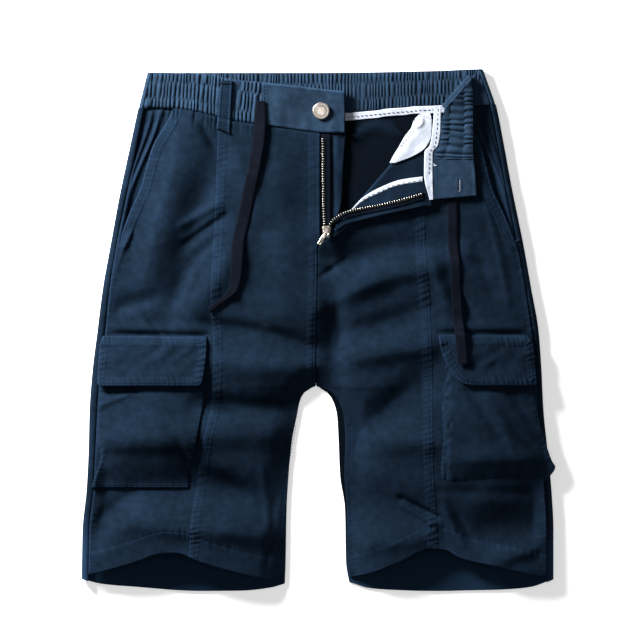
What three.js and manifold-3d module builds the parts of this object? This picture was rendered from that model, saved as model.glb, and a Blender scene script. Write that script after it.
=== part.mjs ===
// Cargo shorts in cotton twill, laid flat with the fly open and the left front corner turned outwards.
// Millimetres, +Z up, the waist towards +Y. The origin is the middle of the box, at the level it rests on.
// The tables are in mm on the laying-out sheet: a runs right and d runs down from the sheet's corner.

import * as THREE from 'three';
import { mergeVertices } from 'three/addons/utils/BufferGeometryUtils.js';
import Module from 'manifold-3d';

const wasm = await Module();
wasm.setup();

// Cloth and clearances
const CLOTH = 1.6;
const THIN = 1.1;
const BAND = 3.0;
const CLEAR = 0.35;
const SEAM_GAP = 0.3;
const LAYER = CLOTH + CLEAR;

// Form of the laid garment
const SIDE_ROLL = 4.5;
const HIP_CROWN = 9;
const LEG_CROWN = 11;
const HEM_CROWN = 15;
const EDGE_TOP = 2 * CLOTH + CLEAR + 0.1;
const NOSE_REACH = 24;
const FLY_SAG = 7;
const WAIST_SAG = 2.4;
const BAND_RISE = 0.7;
const GATHER = 1.0;
const PATCH_REST = 0.8;
const CORD_THICK = 1.6;
const BUTTON_RADIUS = 8.6;

const SHEET_ORIGIN = { a: 318.5, d: 330 };

// Outline of the sides and the line of the outer seams that show on top
const SIDES = [
  { d: 68, left: 148, right: 482, seamLeft: 154, seamRight: 476 },
  { d: 108, left: 138, right: 496, seamLeft: 144, seamRight: 490 },
  { d: 140, left: 131, right: 503, seamLeft: 138, seamRight: 497 },
  { d: 196, left: 119, right: 514, seamLeft: 126, seamRight: 508 },
  { d: 245, left: 110, right: 524, seamLeft: 116, seamRight: 518 },
  { d: 290, left: 102, right: 532, seamLeft: 109, seamRight: 526 },
  { d: 330, left: 97, right: 539, seamLeft: 105, seamRight: 532 },
  { d: 370, left: 92, right: 542, seamLeft: 100, seamRight: 536 },
  { d: 410, left: 89, right: 544, seamLeft: 97, seamRight: 538 },
  { d: 450, left: 88, right: 548, seamLeft: 95, seamRight: 541 },
  { d: 490, left: 86, right: 552, seamLeft: 93, seamRight: 545 },
  { d: 530, left: 82, right: 554, seamLeft: 89, seamRight: 547 },
  { d: 582, left: 81, right: 554, seamLeft: 88, seamRight: 547 },
];

// Middle seam down to the crotch, then the inner edges of the legs
const INNER = [
  { d: 100, left: 318.2, right: 318.8, frontRight: 318.8 },
  { d: 250, left: 317.7, right: 318.3, frontRight: 318.3 },
  { d: 340, left: 315.8, right: 316.4, frontRight: 316.4 },
  { d: 386, left: 315.4, right: 316.4, frontRight: 316.9 },
  { d: 388.5, left: 310, right: 321, frontRight: 323 },
  { d: 391, left: 306, right: 325, frontRight: 329 },
  { d: 395, left: 302.5, right: 329.5, frontRight: 334 },
  { d: 402, left: 299.5, right: 333.5, frontRight: 339 },
  { d: 415, left: 297, right: 337, frontRight: 343.5 },
  { d: 440, left: 292, right: 338.5, frontRight: 345.5 },
  { d: 475, left: 288.5, right: 340, frontRight: 344.5 },
  { d: 510, left: 286.5, right: 345, frontRight: 347 },
  { d: 560, left: 285.5, right: 346, frontRight: 348 },
  { d: 584, left: 284.5, right: 350, frontRight: 351 },
];

// Long seams of the fronts
const LONG_SEAM = [
  { d: 105, left: 218, right: 421 },
  { d: 200, left: 215, right: 425 },
  { d: 260, left: 212, right: 426 },
  { d: 300, left: 210, right: 430 },
  { d: 350, left: 213, right: 432 },
  { d: 400, left: 211, right: 433 },
  { d: 440, left: 203, right: 433 },
  { d: 480, left: 197, right: 434 },
  { d: 520, left: 191, right: 437 },
  { d: 584, left: 188, right: 438 },
];

// Hem edges: front edges are lifted into a peak, back edges lie on the surface
const HEM_LEFT = [
  { a: 80, front: 577, back: 579 },
  { a: 100, front: 572, back: 584.5 },
  { a: 140, front: 560, back: 588 },
  { a: 158, front: 553.5, back: 589.5 },
  { a: 176, front: 552.5, back: 591 },
  { a: 200, front: 561, back: 591.8 },
  { a: 240, front: 573, back: 591.5 },
  { a: 270, front: 580, back: 588.5 },
  { a: 286, front: 583, back: 584 },
];
const HEM_RIGHT = [
  { a: 350, front: 578, back: 583 },
  { a: 370, front: 573, back: 589 },
  { a: 400, front: 561, back: 591 },
  { a: 430, front: 548.5, back: 591.8 },
  { a: 446, front: 550, back: 591.8 },
  { a: 458, front: 557, back: 591.5 },
  { a: 500, front: 567, back: 590.5 },
  { a: 530, front: 574, back: 588 },
  { a: 556, front: 578, back: 579 },
];

// Waist: edges of the waistband, front right, and the back one under it
const WAIST = [
  { a: 137, top: 72, seam: 107.5 },
  { a: 175, top: 72.3, seam: 108 },
  { a: 200, top: 73, seam: 112 },
  { a: 232, top: 79, seam: 120 },
  { a: 262, top: 82.2, seam: 124.5 },
  { a: 300, top: 86, seam: 130 },
  { a: 320, top: 88.4, seam: 132.5 },
  { a: 346, top: 91, seam: 133 },
];
const BACK_WAIST = [
  { a: 137, top: 72, seam: 108 },
  { a: 318.5, top: 72, seam: 113 },
  { a: 440, top: 70, seam: 104.5 },
  { a: 478, top: 68.5, seam: 104 },
  { a: 500, top: 74, seam: 104 },
];
const SIDE_WAIST_RIGHT = [
  { a: 428, top: 72, seam: 126 },
  { a: 440, top: 71, seam: 120 },
  { a: 470, top: 69.5, seam: 107 },
  { a: 484, top: 70, seam: 104 },
  { a: 500, top: 74, seam: 104 },
];

// Hip pockets: edge of the front cloth at the slanted mouth
const POCKET_MOUTH = [
  { d: 105, inset: 36 },
  { d: 119, inset: 33 },
  { d: 149, inset: 22.5 },
  { d: 185, inset: 20 },
  { d: 215, inset: 13 },
  { d: 238, inset: 8.5 },
];

// Largest folds: a soft ridge (or trough, when high is negative) along each line
const FOLDS = [
  { a1: 160, d1: 130, a2: 172, d2: 215, wide: 15, high: 4 },
  { a1: 200, d1: 165, a2: 150, d2: 300, wide: 11, high: -3.5 },
  { a1: 205, d1: 240, a2: 170, d2: 290, wide: 8, high: -2 },
  { a1: 240, d1: 250, a2: 200, d2: 305, wide: 14, high: 3 },
  { a1: 120, d1: 318, a2: 290, d2: 328, wide: 9, high: -2.5 },
  { a1: 215, d1: 352, a2: 300, d2: 362, wide: 12, high: 3 },
  { a1: 215, d1: 396, a2: 290, d2: 400, wide: 9, high: -3 },
  { a1: 205, d1: 432, a2: 285, d2: 436, wide: 13, high: 3 },
  { a1: 200, d1: 476, a2: 280, d2: 472, wide: 10, high: -3 },
  { a1: 120, d1: 520, a2: 260, d2: 522, wide: 14, high: 3 },
  { a1: 330, d1: 312, a2: 420, d2: 272, wide: 11, high: 4 },
  { a1: 350, d1: 330, a2: 424, d2: 305, wide: 10, high: -3.5 },
  { a1: 340, d1: 352, a2: 420, d2: 342, wide: 10, high: 3 },
  { a1: 402, d1: 362, a2: 352, d2: 424, wide: 11, high: -4 },
  { a1: 372, d1: 440, a2: 428, d2: 414, wide: 14, high: 4 },
  { a1: 356, d1: 474, a2: 424, d2: 486, wide: 14, high: -3 },
  { a1: 356, d1: 536, a2: 424, d2: 530, wide: 13, high: 2.5 },
  { a1: 327, d1: 290, a2: 326, d2: 372, wide: 7, high: -3.5 },
  { a1: 474, d1: 175, a2: 506, d2: 300, wide: 12, high: 3 },
  { a1: 450, d1: 520, a2: 536, d2: 516, wide: 12, high: 3 },
];

// Turned corner: the fold line and the free edges of the cloth that lies inside out
const FOLD_START = { a: 325, d: 240 };
const FOLD_END = { a: 470, d: 72 };
const FOLD_RADIUS = 2.9;
const BAND_FOLD_RADIUS = 4.3;
const BAND_LIFT = 2.5;
const TURNED_EDGE = [
  { p: 0, reach: 3.6 },
  { p: 24, reach: 8 },
  { p: 54, reach: 27 },
  { p: 84, reach: 48 },
  { p: 97, reach: 56.5 },
  { p: 102.5, reach: 53.4 },
  { p: 131, reach: 28.8 },
  { p: 138, reach: 24 },
  { p: 145, reach: 23.2 },
  { p: 159, reach: 14.6 },
  { p: 172, reach: 3.7 },
];
const TURNED_BAND = [
  { d: 70, top: 473, seam: 442 },
  { d: 130, top: 473, seam: 441 },
  { d: 146, top: 473, seam: 439 },
  { d: 152, top: 473, seam: 434.5 },
  { d: 160, top: 474, seam: 433.5 },
  { d: 198, top: 477, seam: 433.5 },
];

// Materials
const twill = new THREE.MeshStandardMaterial({ color: 0x1f2d40, roughness: 0.9 });
const twillLight = new THREE.MeshStandardMaterial({ color: 0x26364a, roughness: 0.9 });
const twillInside = new THREE.MeshStandardMaterial({ color: 0x121a24, roughness: 0.95 });
const whiteCotton = new THREE.MeshStandardMaterial({ color: 0xeceff4, roughness: 0.9 });
const cordTape = new THREE.MeshStandardMaterial({ color: 0x181b28, roughness: 0.85 });
const zipTape = new THREE.MeshStandardMaterial({ color: 0x17202c, roughness: 0.85 });
const steel = new THREE.MeshStandardMaterial({ color: 0xb9b6b2, roughness: 0.35, metalness: 1 });

const shorts = new THREE.Group();

// Reads one column of a table at a key, in straight steps between its rows
function read(rows, key, column) {
  return (at) => {
    const last = rows.length - 1;
    let i = 0;
    while (i < last - 1 && at > rows[i + 1][key]) i += 1;
    const span = rows[i + 1][key] - rows[i][key];
    const t = THREE.MathUtils.clamp((at - rows[i][key]) / span, 0, 1);
    return rows[i][column] + t * (rows[i + 1][column] - rows[i][column]);
  };
}

const smooth = (from, to, x) => {
  const t = THREE.MathUtils.clamp((x - from) / (to - from), 0, 1);
  return t * t * (3 - 2 * t);
};
const mix = THREE.MathUtils.lerp;

const outline = { left: read(SIDES, 'd', 'left'), right: read(SIDES, 'd', 'right') };
const outSeam = { left: read(SIDES, 'd', 'seamLeft'), right: read(SIDES, 'd', 'seamRight') };
const inner = { left: read(INNER, 'd', 'left'), right: read(INNER, 'd', 'right') };
const frontInner = { left: inner.left, right: read(INNER, 'd', 'frontRight') };
const longSeam = { left: read(LONG_SEAM, 'd', 'left'), right: read(LONG_SEAM, 'd', 'right') };
const hemFront = { left: read(HEM_LEFT, 'a', 'front'), right: read(HEM_RIGHT, 'a', 'front') };
const hemBack = { left: read(HEM_LEFT, 'a', 'back'), right: read(HEM_RIGHT, 'a', 'back') };
const waistTop = read(WAIST, 'a', 'top');
const waistSeam = read(WAIST, 'a', 'seam');
const backTop = read(BACK_WAIST, 'a', 'top');
const backSeam = read(BACK_WAIST, 'a', 'seam');
const sideTopRight = read(SIDE_WAIST_RIGHT, 'a', 'top');
const sideSeamRight = read(SIDE_WAIST_RIGHT, 'a', 'seam');
const mouthInset = read(POCKET_MOUTH, 'd', 'inset');

// Distance from a point to a straight line between two points
function distanceToLine(a, d, line) {
  const da = line.a2 - line.a1;
  const dd = line.d2 - line.d1;
  const along = ((a - line.a1) * da + (d - line.d1) * dd) / (da * da + dd * dd);
  const t = THREE.MathUtils.clamp(along, 0, 1);
  return Math.hypot(a - line.a1 - t * da, d - line.d1 - t * dd);
}

// Lines of the gap between the legs
const legGap = INNER.slice(3, -1).flatMap((row, i) => {
  const next = INNER[i + 4];
  return [
    { a1: row.left, d1: row.d, a2: next.left, d2: next.d },
    { a1: row.frontRight, d1: row.d, a2: next.frontRight, d2: next.d },
  ];
});

// Place on the fold of the turned corner: p along it, q away from it to the lower right
const foldLength = Math.hypot(FOLD_END.a - FOLD_START.a, FOLD_END.d - FOLD_START.d);
const foldAlong = { a: (FOLD_END.a - FOLD_START.a) / foldLength, d: (FOLD_END.d - FOLD_START.d) / foldLength };
const foldAcross = { a: -foldAlong.d, d: foldAlong.a };

function toFold(a, d) {
  const da = a - FOLD_START.a;
  const dd = d - FOLD_START.d;
  return { p: da * foldAlong.a + dd * foldAlong.d, q: da * foldAcross.a + dd * foldAcross.d };
}

function fromFold(p, q) {
  return {
    a: FOLD_START.a + p * foldAlong.a + q * foldAcross.a,
    d: FOLD_START.d + p * foldAlong.d + q * foldAcross.d,
  };
}

const foldAt = (d) => FOLD_START.a + (d - FOLD_START.d) * (foldAlong.a / foldAlong.d);

// Height of the upper face of the fronts: side level, crown, folds, the drop to the leg gap, the open fly
function frontTop(a, d) {
  const hipHalf = (outline.right(d) - outline.left(d)) / 2;
  const hipMid = (outline.right(d) + outline.left(d)) / 2;
  const hip = 1 - Math.min(1, Math.abs((a - hipMid) / hipHalf)) ** 2.6;
  const isLeft = a < (inner.left(d) + inner.right(d)) / 2;
  const from = isLeft ? outline.left(d) : frontInner.right(d);
  const to = isLeft ? frontInner.left(d) : outline.right(d);
  const across = THREE.MathUtils.clamp((a - from) / (to - from), 0, 1);
  const leg = 1 - Math.abs(2 * across - 1) ** 2.6;
  const split = smooth(290, 388, d);
  const hipCrown = mix(3, HIP_CROWN, smooth(100, 190, d));
  const legCrown = mix(LEG_CROWN, HEM_CROWN, smooth(430, 560, d));
  let z = 2 * SIDE_ROLL + hipCrown * (1 - split) * hip + legCrown * split * leg;
  const edge = Math.min(a - outSeam.left(d), outSeam.right(d) - a);
  const calm = smooth(0, 14, edge);
  for (const fold of FOLDS) {
    const away = distanceToLine(a, d, fold) / fold.wide;
    if (away < 2.4) z += calm * fold.high * Math.exp(-away * away);
  }
  const away = toFold(a, d);
  const sag = mix(WAIST_SAG, FLY_SAG, smooth(118, 190, d));
  if (isLeft || away.q < 0) {
    z -= sag * smooth(240, 322, a) * smooth(262, 200, d) * (a < 400 ? 1 : 0);
  } else {
    z -= sag * smooth(110, 10, away.q) * smooth(-15, 50, away.p);
  }
  const gap = Math.min(...legGap.map((line) => distanceToLine(a, d, line)));
  const drop = Math.sin((Math.PI / 2) * Math.min(1, gap / NOSE_REACH));
  z = EDGE_TOP + (z - EDGE_TOP) * drop;
  const overLeft = outline.left(d) + SIDE_ROLL - a;
  const overRight = a - outline.right(d) + SIDE_ROLL;
  const over = Math.min(Math.max(overLeft, overRight, 0), SIDE_ROLL);
  return z - SIDE_ROLL + Math.sqrt(SIDE_ROLL * SIDE_ROLL - over * over);
}

// Signed volume of a triangle list, to turn a body right side out
function volumeOf(points, triangles) {
  let sum = 0;
  for (const [i, j, k] of triangles) {
    sum += points[i].dot(new THREE.Vector3().crossVectors(points[j], points[k])) / 6;
  }
  return sum;
}

function geometryOf(points, triangles) {
  const order = volumeOf(points, triangles) < 0 ? triangles.map(([i, j, k]) => [i, k, j]) : triangles;
  const geometry = new THREE.BufferGeometry();
  const flat = points.flatMap((point) => [point.x, point.y, point.z]);
  geometry.setAttribute('position', new THREE.Float32BufferAttribute(flat, 3));
  geometry.setIndex(order.flat());
  return geometry;
}

// From the laying-out sheet to the part's own frame
const place = ({ a, d, z }) => new THREE.Vector3(a - SHEET_ORIGIN.a, SHEET_ORIGIN.d - d, z);

// One layer of cloth: a grid of outer points and a grid of inner points, closed round its rim
function layer(columns, rows, pair) {
  const points = [];
  for (let j = 0; j <= rows; j += 1) {
    for (let i = 0; i <= columns; i += 1) points.push(...pair(i, j).map(place));
  }
  const id = (i, j, side) => 2 * (j * (columns + 1) + i) + side;
  const triangles = [];
  const quad = (w, x, y, z) => triangles.push([w, x, y], [w, y, z]);
  for (let j = 0; j < rows; j += 1) {
    for (let i = 0; i < columns; i += 1) {
      quad(id(i, j, 0), id(i, j + 1, 0), id(i + 1, j + 1, 0), id(i + 1, j, 0));
      quad(id(i, j, 1), id(i + 1, j, 1), id(i + 1, j + 1, 1), id(i, j + 1, 1));
    }
  }
  for (let i = 0; i < columns; i += 1) {
    quad(id(i, 0, 0), id(i + 1, 0, 0), id(i + 1, 0, 1), id(i, 0, 1));
    quad(id(i, rows, 1), id(i + 1, rows, 1), id(i + 1, rows, 0), id(i, rows, 0));
  }
  for (let j = 0; j < rows; j += 1) {
    quad(id(0, j, 1), id(0, j + 1, 1), id(0, j + 1, 0), id(0, j, 0));
    quad(id(columns, j, 0), id(columns, j + 1, 0), id(columns, j + 1, 1), id(columns, j, 1));
  }
  return geometryOf(points, triangles);
}

// A layer that lies under a height, with its wall measured straight down
function lying(columns, rows, plan, top, wall) {
  return layer(columns, rows, (i, j) => {
    const spot = plan(i / columns, j / rows);
    const z = top(spot.a, spot.d);
    return [{ ...spot, z }, { ...spot, z: z - wall }];
  });
}

// A closed body through rings of points, with flat ends
function loft(rings) {
  const size = rings[0].length;
  const points = rings.flat().map(place);
  const triangles = [];
  for (let r = 0; r < rings.length - 1; r += 1) {
    for (let i = 0; i < size; i += 1) {
      const next = (i + 1) % size;
      const [w, x] = [r * size + i, r * size + next];
      triangles.push([w, x, x + size], [w, x + size, w + size]);
    }
  }
  const end = (rings.length - 1) * size;
  for (let i = 1; i < size - 1; i += 1) {
    triangles.push([0, i + 1, i], [end, end + i, end + i + 1]);
  }
  return geometryOf(points, triangles);
}

function solidOf(geometry) {
  const bare = geometry.clone();
  bare.deleteAttribute('normal');
  bare.deleteAttribute('uv');
  const merged = mergeVertices(bare, 1e-4);
  const vertProperties = new Float32Array(merged.attributes.position.array);
  const triVerts = new Uint32Array(merged.index.array);
  return new wasm.Manifold(new wasm.Mesh({ numProp: 3, vertProperties, triVerts }));
}

function joined(first, second) {
  const mesh = solidOf(first).add(solidOf(second)).getMesh();
  const geometry = new THREE.BufferGeometry();
  geometry.setAttribute('position', new THREE.Float32BufferAttribute(mesh.vertProperties, 3));
  geometry.setIndex([...mesh.triVerts]);
  return geometry;
}

function add(name, geometry, material) {
  geometry.computeVertexNormals();
  const mesh = new THREE.Mesh(geometry, material);
  mesh.name = name;
  shorts.add(mesh);
  return mesh;
}

// Rows of a body panel: they follow the waist seam at the top and the hem at the bottom
const ROW_TOP = 109;
const ROW_END = 580;
function panelRow(share) {
  return (a, d0, topLine, bottomLine) => {
    const up = 1 - smooth(0, 0.16, share);
    const down = smooth(0.84, 1, share);
    return d0 + (topLine(a) - ROW_TOP) * up + (bottomLine(a) - ROW_END) * down;
  };
}

// Row levels, closer together at the crotch
function levels(top, bottom, count) {
  const plain = Array.from({ length: count }, (_, i) => mix(top, bottom, i / (count - 1)));
  const crotch = [386, 388.5, 391, 395, 402];
  const far = plain.filter((d) => Math.abs(d - 393) > 12);
  return [...far, ...crotch].sort((x, y) => x - y);
}
const bodyRows = levels(ROW_TOP, ROW_END, 20);

// Back panels: flat on the surface, rolled up round the outer side to the seam that shows on top
for (const side of ['left', 'right']) {
  const sign = side === 'left' ? 1 : -1;
  const ds = bodyRows;
  const arc = [0, 0.2, 0.4, 0.6, 0.8, 1];
  const flat = [0.12, 0.4, 0.7, 0.9, 1];
  const columns = 1 + arc.length + flat.length - 1;
  const pair = (i, j) => {
    const d0 = ds[j];
    const row = panelRow((d0 - ROW_TOP) / (ROW_END - ROW_TOP));
    const centre = outline[side](d0) + sign * SIDE_ROLL;
    const seam = outSeam[side](d0);
    const end = inner[side](d0);
    const lower = (spot) => {
      const d = row(spot.a, d0, (x) => backSeam(x) + 1, hemBack[side]);
      return { ...spot, d };
    };
    if (i === 0) return [{ a: seam, z: 2 * SIDE_ROLL }, { a: seam, z: 2 * SIDE_ROLL - CLOTH }].map(lower);
    if (i <= arc.length) {
      const turn = Math.PI * (1 - arc[i - 1]);
      const at = (radius) => ({
        a: centre - sign * radius * Math.sin(turn),
        z: SIDE_ROLL - radius * Math.cos(turn),
      });
      return [at(SIDE_ROLL), at(SIDE_ROLL - CLOTH)].map(lower);
    }
    const a = mix(centre, end, flat[i - arc.length - 1]);
    return [{ a, z: 0 }, { a, z: CLOTH }].map(lower);
  };
  const name = side === 'left' ? 'back_right' : 'back_left';
  add(name, layer(columns, ds.length - 1, pair), twillInside);
}

// Front panels of the right leg (on the left as laid), and of the left leg below the turned corner
const cornerRows = bodyRows.filter((d) => d > 141);

function frontPlan(side, ds, from, to) {
  return (u, v) => {
    const j = Math.round(v * (ds.length - 1));
    const d0 = ds[j];
    const share = (d0 - ROW_TOP) / (ROW_END - ROW_TOP);
    const a = mix(from(d0), to(d0), u);
    const seamLine = side === 'left' ? waistSeam : sideSeamRight;
    const d = panelRow(share)(a, d0, (x) => seamLine(x) + SEAM_GAP, hemFront[side]);
    return { a, d };
  };
}

const flyEdge = (d) => mix(320, inner.left(d), smooth(236, 250, d));
const mouthLeft = (d) => Math.max(outSeam.left(d) + SEAM_GAP, d < 242 ? outline.left(d) + mouthInset(d) : 0);
const mouthRight = (d) => Math.min(outSeam.right(d) - SEAM_GAP, d < 242 ? outline.right(d) - mouthInset(d) : 999);
const foldSide = (d) => foldAt(d) + FOLD_RADIUS / foldAcross.a;
const cornerSide = (d) => mix(foldSide(d), frontInner.right(d), smooth(234, 252, d));

add('front_right_inner', lying(8, bodyRows.length - 1,
  frontPlan('left', bodyRows, (d) => longSeam.left(d) + SEAM_GAP / 2, flyEdge), frontTop, CLOTH), twill);
add('front_right_side', lying(7, bodyRows.length - 1,
  frontPlan('left', bodyRows, mouthLeft, (d) => longSeam.left(d) - SEAM_GAP / 2), frontTop, CLOTH), twill);
const sidePanelEdge = (d) => Math.max(longSeam.right(d) + SEAM_GAP / 2, d < 240 ? foldSide(d) + 0.6 : 0);
add('front_left_side', lying(7, bodyRows.length - 1,
  frontPlan('right', bodyRows, sidePanelEdge, mouthRight), frontTop, CLOTH), twill);

// Turned corner of the left front: round the fold, then back over the front with its inside up
const turnedReach = read(TURNED_EDGE, 'p', 'reach');
const foldLift = 2 * FOLD_RADIUS - CLOTH;

function turnedTop(a, d) {
  const { p, q } = toFold(a, d);
  const inside = fromFold(p, Math.max(q, FOLD_RADIUS));
  return frontTop(inside.a, inside.d) + foldLift;
}

const foldArc = [0, 0.25, 0.5, 0.75, 1];
const turnedPair = (i, j) => {
  const p = mix(8, 171, j / 20);
  const start = fromFold(p, FOLD_RADIUS);
  const under = frontTop(start.a, start.d) - CLOTH;
  if (i === 0) {
    const tongue = p < 122 ? 1.2 : 0;
    const spot = fromFold(p, FOLD_RADIUS + tongue);
    const level = frontTop(spot.a, spot.d) - CLOTH;
    return [{ ...spot, z: level + 0.3 }, { ...spot, z: level + CLOTH - 0.3 }];
  }
  if (i <= foldArc.length) {
    const turn = Math.PI * foldArc[i - 1];
    return [FOLD_RADIUS, FOLD_RADIUS - CLOTH].map((radius) => ({
      ...fromFold(p, FOLD_RADIUS - 0.02 * i - radius * Math.sin(turn)),
      z: under + FOLD_RADIUS - radius * Math.cos(turn),
    }));
  }
  const share = (i - foldArc.length) / 5;
  const spot = fromFold(p, mix(FOLD_RADIUS, Math.max(turnedReach(p), FOLD_RADIUS + 0.8), share));
  const z = turnedTop(spot.a, spot.d);
  return [{ ...spot, z }, { ...spot, z: z - CLOTH }];
};
const lowerFront = lying(8, cornerRows.length - 1,
  frontPlan('right', cornerRows, cornerSide, (d) => longSeam.right(d) - SEAM_GAP / 2), frontTop, CLOTH);
add('front_left_inner', joined(lowerFront, layer(foldArc.length + 5, 20, turnedPair)), twill);

// Hip pocket facings under the slanted mouths
for (const side of ['left', 'right']) {
  const sign = side === 'left' ? 1 : -1;
  const rows = [110, 130, 150, 170, 190, 210, 228];
  const plan = (u, v) => {
    const d0 = rows[Math.round(v * (rows.length - 1))];
    const mouth = side === 'left' ? mouthLeft(d0) : mouthRight(d0);
    const from = outSeam[side](d0) + sign * SEAM_GAP;
    const a = mix(from, mouth + sign * 9, u);
    const seamLine = side === 'left' ? waistSeam : sideSeamRight;
    return { a, d: d0 + (v === 0 ? seamLine(a) + SEAM_GAP - d0 : 0) };
  };
  const name = side === 'left' ? 'pocket_facing_right' : 'pocket_facing_left';
  add(name, lying(3, rows.length - 1, plan, (a, d) => frontTop(a, d) - LAYER - 0.9, THIN), twill);
}

// Waistband: a gather is a ridge on the face that shows
const ridge = (place_, pitch) => (Math.round(place_ / pitch) % 2 === 0 ? GATHER : 0);
const bandTop = (a, d) => frontTop(a, d) + BAND_RISE;

{
  const gathers = 70;
  const arc = [0, 0.25, 0.5, 0.75, 1];
  const flat = 2 * gathers;
  const columns = 2 * arc.length + flat - 1;
  const pair = (i, j) => {
    const v = j / 3;
    const level = mix(72, 107, v);
    const [left, right] = [outline.left(level) + SIDE_ROLL, outline.right(level) - SIDE_ROLL];
    const lower = (spot) => ({ ...spot, d: mix(backTop(spot.a), backSeam(spot.a), v) });
    const wall = BAND - GATHER / 2;
    if (i < arc.length) {
      const turn = Math.PI * (1 - arc[i]);
      return [SIDE_ROLL, SIDE_ROLL - wall].map((radius) => lower({
        a: left - radius * Math.sin(turn), z: SIDE_ROLL - radius * Math.cos(turn),
      }));
    }
    if (i > columns - arc.length) {
      const turn = Math.PI * arc[i - columns + arc.length - 1];
      return [SIDE_ROLL, SIDE_ROLL - wall].map((radius) => lower({
        a: right + radius * Math.sin(turn), z: SIDE_ROLL - radius * Math.cos(turn),
      }));
    }
    const a = mix(left, right, (i - arc.length + 1) / (flat + 1));
    return [{ a, z: 0 }, { a, z: wall + (i % 2 ? 0.5 : -0.5) * GATHER }].map(lower);
  };
  add('waistband_back', layer(columns, 3, pair), twillLight);
}

{
  const columns = 57;
  const plan = (u, v) => {
    const level = mix(72, 107, v);
    const a = mix(outline.left(level) + SIDE_ROLL + SEAM_GAP, 261.8, u);
    return { a, d: mix(waistTop(a), waistSeam(a), v) };
  };
  const geometry = layer(columns, 3, (i, j) => {
    const spot = plan(i / columns, j / 3);
    const fade = i === 0 ? 0 : 1;
    const z = bandTop(spot.a, spot.d) - fade * (i % 2 ? 0 : GATHER);
    return [{ ...spot, z }, { ...spot, z: bandTop(spot.a, spot.d) - BAND }];
  });
  add('waistband_side_right', geometry, twillLight);
}

add('waistband_front_right', lying(6, 3, (u, v) => {
  const a = mix(262.1, 345, u);
  return { a, d: mix(waistTop(a), waistSeam(a), v) };
}, bandTop, BAND), twillLight);

// Left side of the waistband: from the right-hand roll to the fold, over it, and down the turned corner
const bandEdgeTop = read(TURNED_BAND, 'd', 'top');
const bandEdgeSeam = read(TURNED_BAND, 'd', 'seam');
const turnedBandTop = (a, d) => {
  const { p, q } = toFold(a, d);
  const inside = fromFold(p, Math.max(q, BAND_FOLD_RADIUS));
  return bandTop(inside.a, inside.d) + BAND_LIFT + BAND;
};

{
  const lowerColumns = 3;
  const upperColumns = 26;
  const columns = lowerColumns + foldArc.length + upperColumns - 1;
  const pair = (i, j) => {
    const v = j / 3;
    const p = mix(219, 178, v);
    const start = fromFold(p, BAND_FOLD_RADIUS);
    const startTop = bandTop(start.a, start.d);
    if (i < lowerColumns) {
      const level = mix(72, 107, v);
      const seam = { a: outline.right(level) - SIDE_ROLL - SEAM_GAP, d: level };
      seam.d = mix(sideTopRight(seam.a), sideSeamRight(seam.a), v);
      const share = i / lowerColumns;
      const spot = { a: mix(seam.a, start.a, share), d: mix(seam.d, start.d, share) };
      const z = bandTop(spot.a, spot.d);
      return [{ ...spot, z: z - BAND }, { ...spot, z }];
    }
    if (i < lowerColumns + foldArc.length) {
      const turn = Math.PI * foldArc[i - lowerColumns];
      return [BAND_FOLD_RADIUS, BAND_FOLD_RADIUS - BAND].map((radius) => ({
        ...fromFold(p, BAND_FOLD_RADIUS - radius * Math.sin(turn)),
        z: startTop - BAND + BAND_FOLD_RADIUS - radius * Math.cos(turn),
      }));
    }
    const step = i - lowerColumns - foldArc.length + 1;
    const share = step / upperColumns;
    const d = mix(start.d, 159, share);
    const a = mix(start.a, mix(bandEdgeTop(d), bandEdgeSeam(d), v), smooth(0, 0.25, share));
    const turned = turnedBandTop(a, d);
    const z = mix(startTop - BAND + 2 * BAND_FOLD_RADIUS, turned, smooth(0, 0.3, share));
    return [{ a, d, z: z - (step % 2 ? GATHER : 0) }, { a, d, z: z - BAND }];
  };
  add('waistband_side_left', layer(columns, 3, pair), twillLight);
}

add('waistband_front_left', lying(3, 4, (u, v) => {
  const d = mix(159.3, mix(200, 196, u), v);
  return { a: mix(bandEdgeSeam(d), bandEdgeTop(d), u), d };
}, turnedBandTop, BAND), twillLight);

// Belt loop over the waistband
add('belt_loop', lying(2, 6, (u, v) => ({
  a: mix(mix(220.5, 216.5, v), mix(232.5, 229.5, v), u), d: mix(80.5, mix(129, 134.5, u), v),
}), (a, d) => bandTop(a, d) + CLEAR + 1.8 - 0.4 * smooth(118, 134, d), 1.8), twill);

// Open fly: shield behind the zip, and the tapes
const flySpread = read([
  { d: 133, from: 326, to: 346 }, { d: 160, from: 326, to: 344 }, { d: 200, from: 326, to: 342 },
  { d: 222, from: 326, to: 336 },
], 'd', 'to');
add('fly_shield', lying(4, 9, (u, v) => {
  const d = mix(133.6, 222, v);
  return { a: mix(308, flySpread(d), u), d };
}, (a, d) => frontTop(a, d) - 2 * LAYER, CLOTH), twill);
add('zip_tape_right', lying(2, 9, (u, v) => {
  const d = mix(133.6, 224, v);
  return { a: mix(314, 330, u), d };
}, (a, d) => frontTop(a, d) - LAYER, THIN), zipTape);

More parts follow.
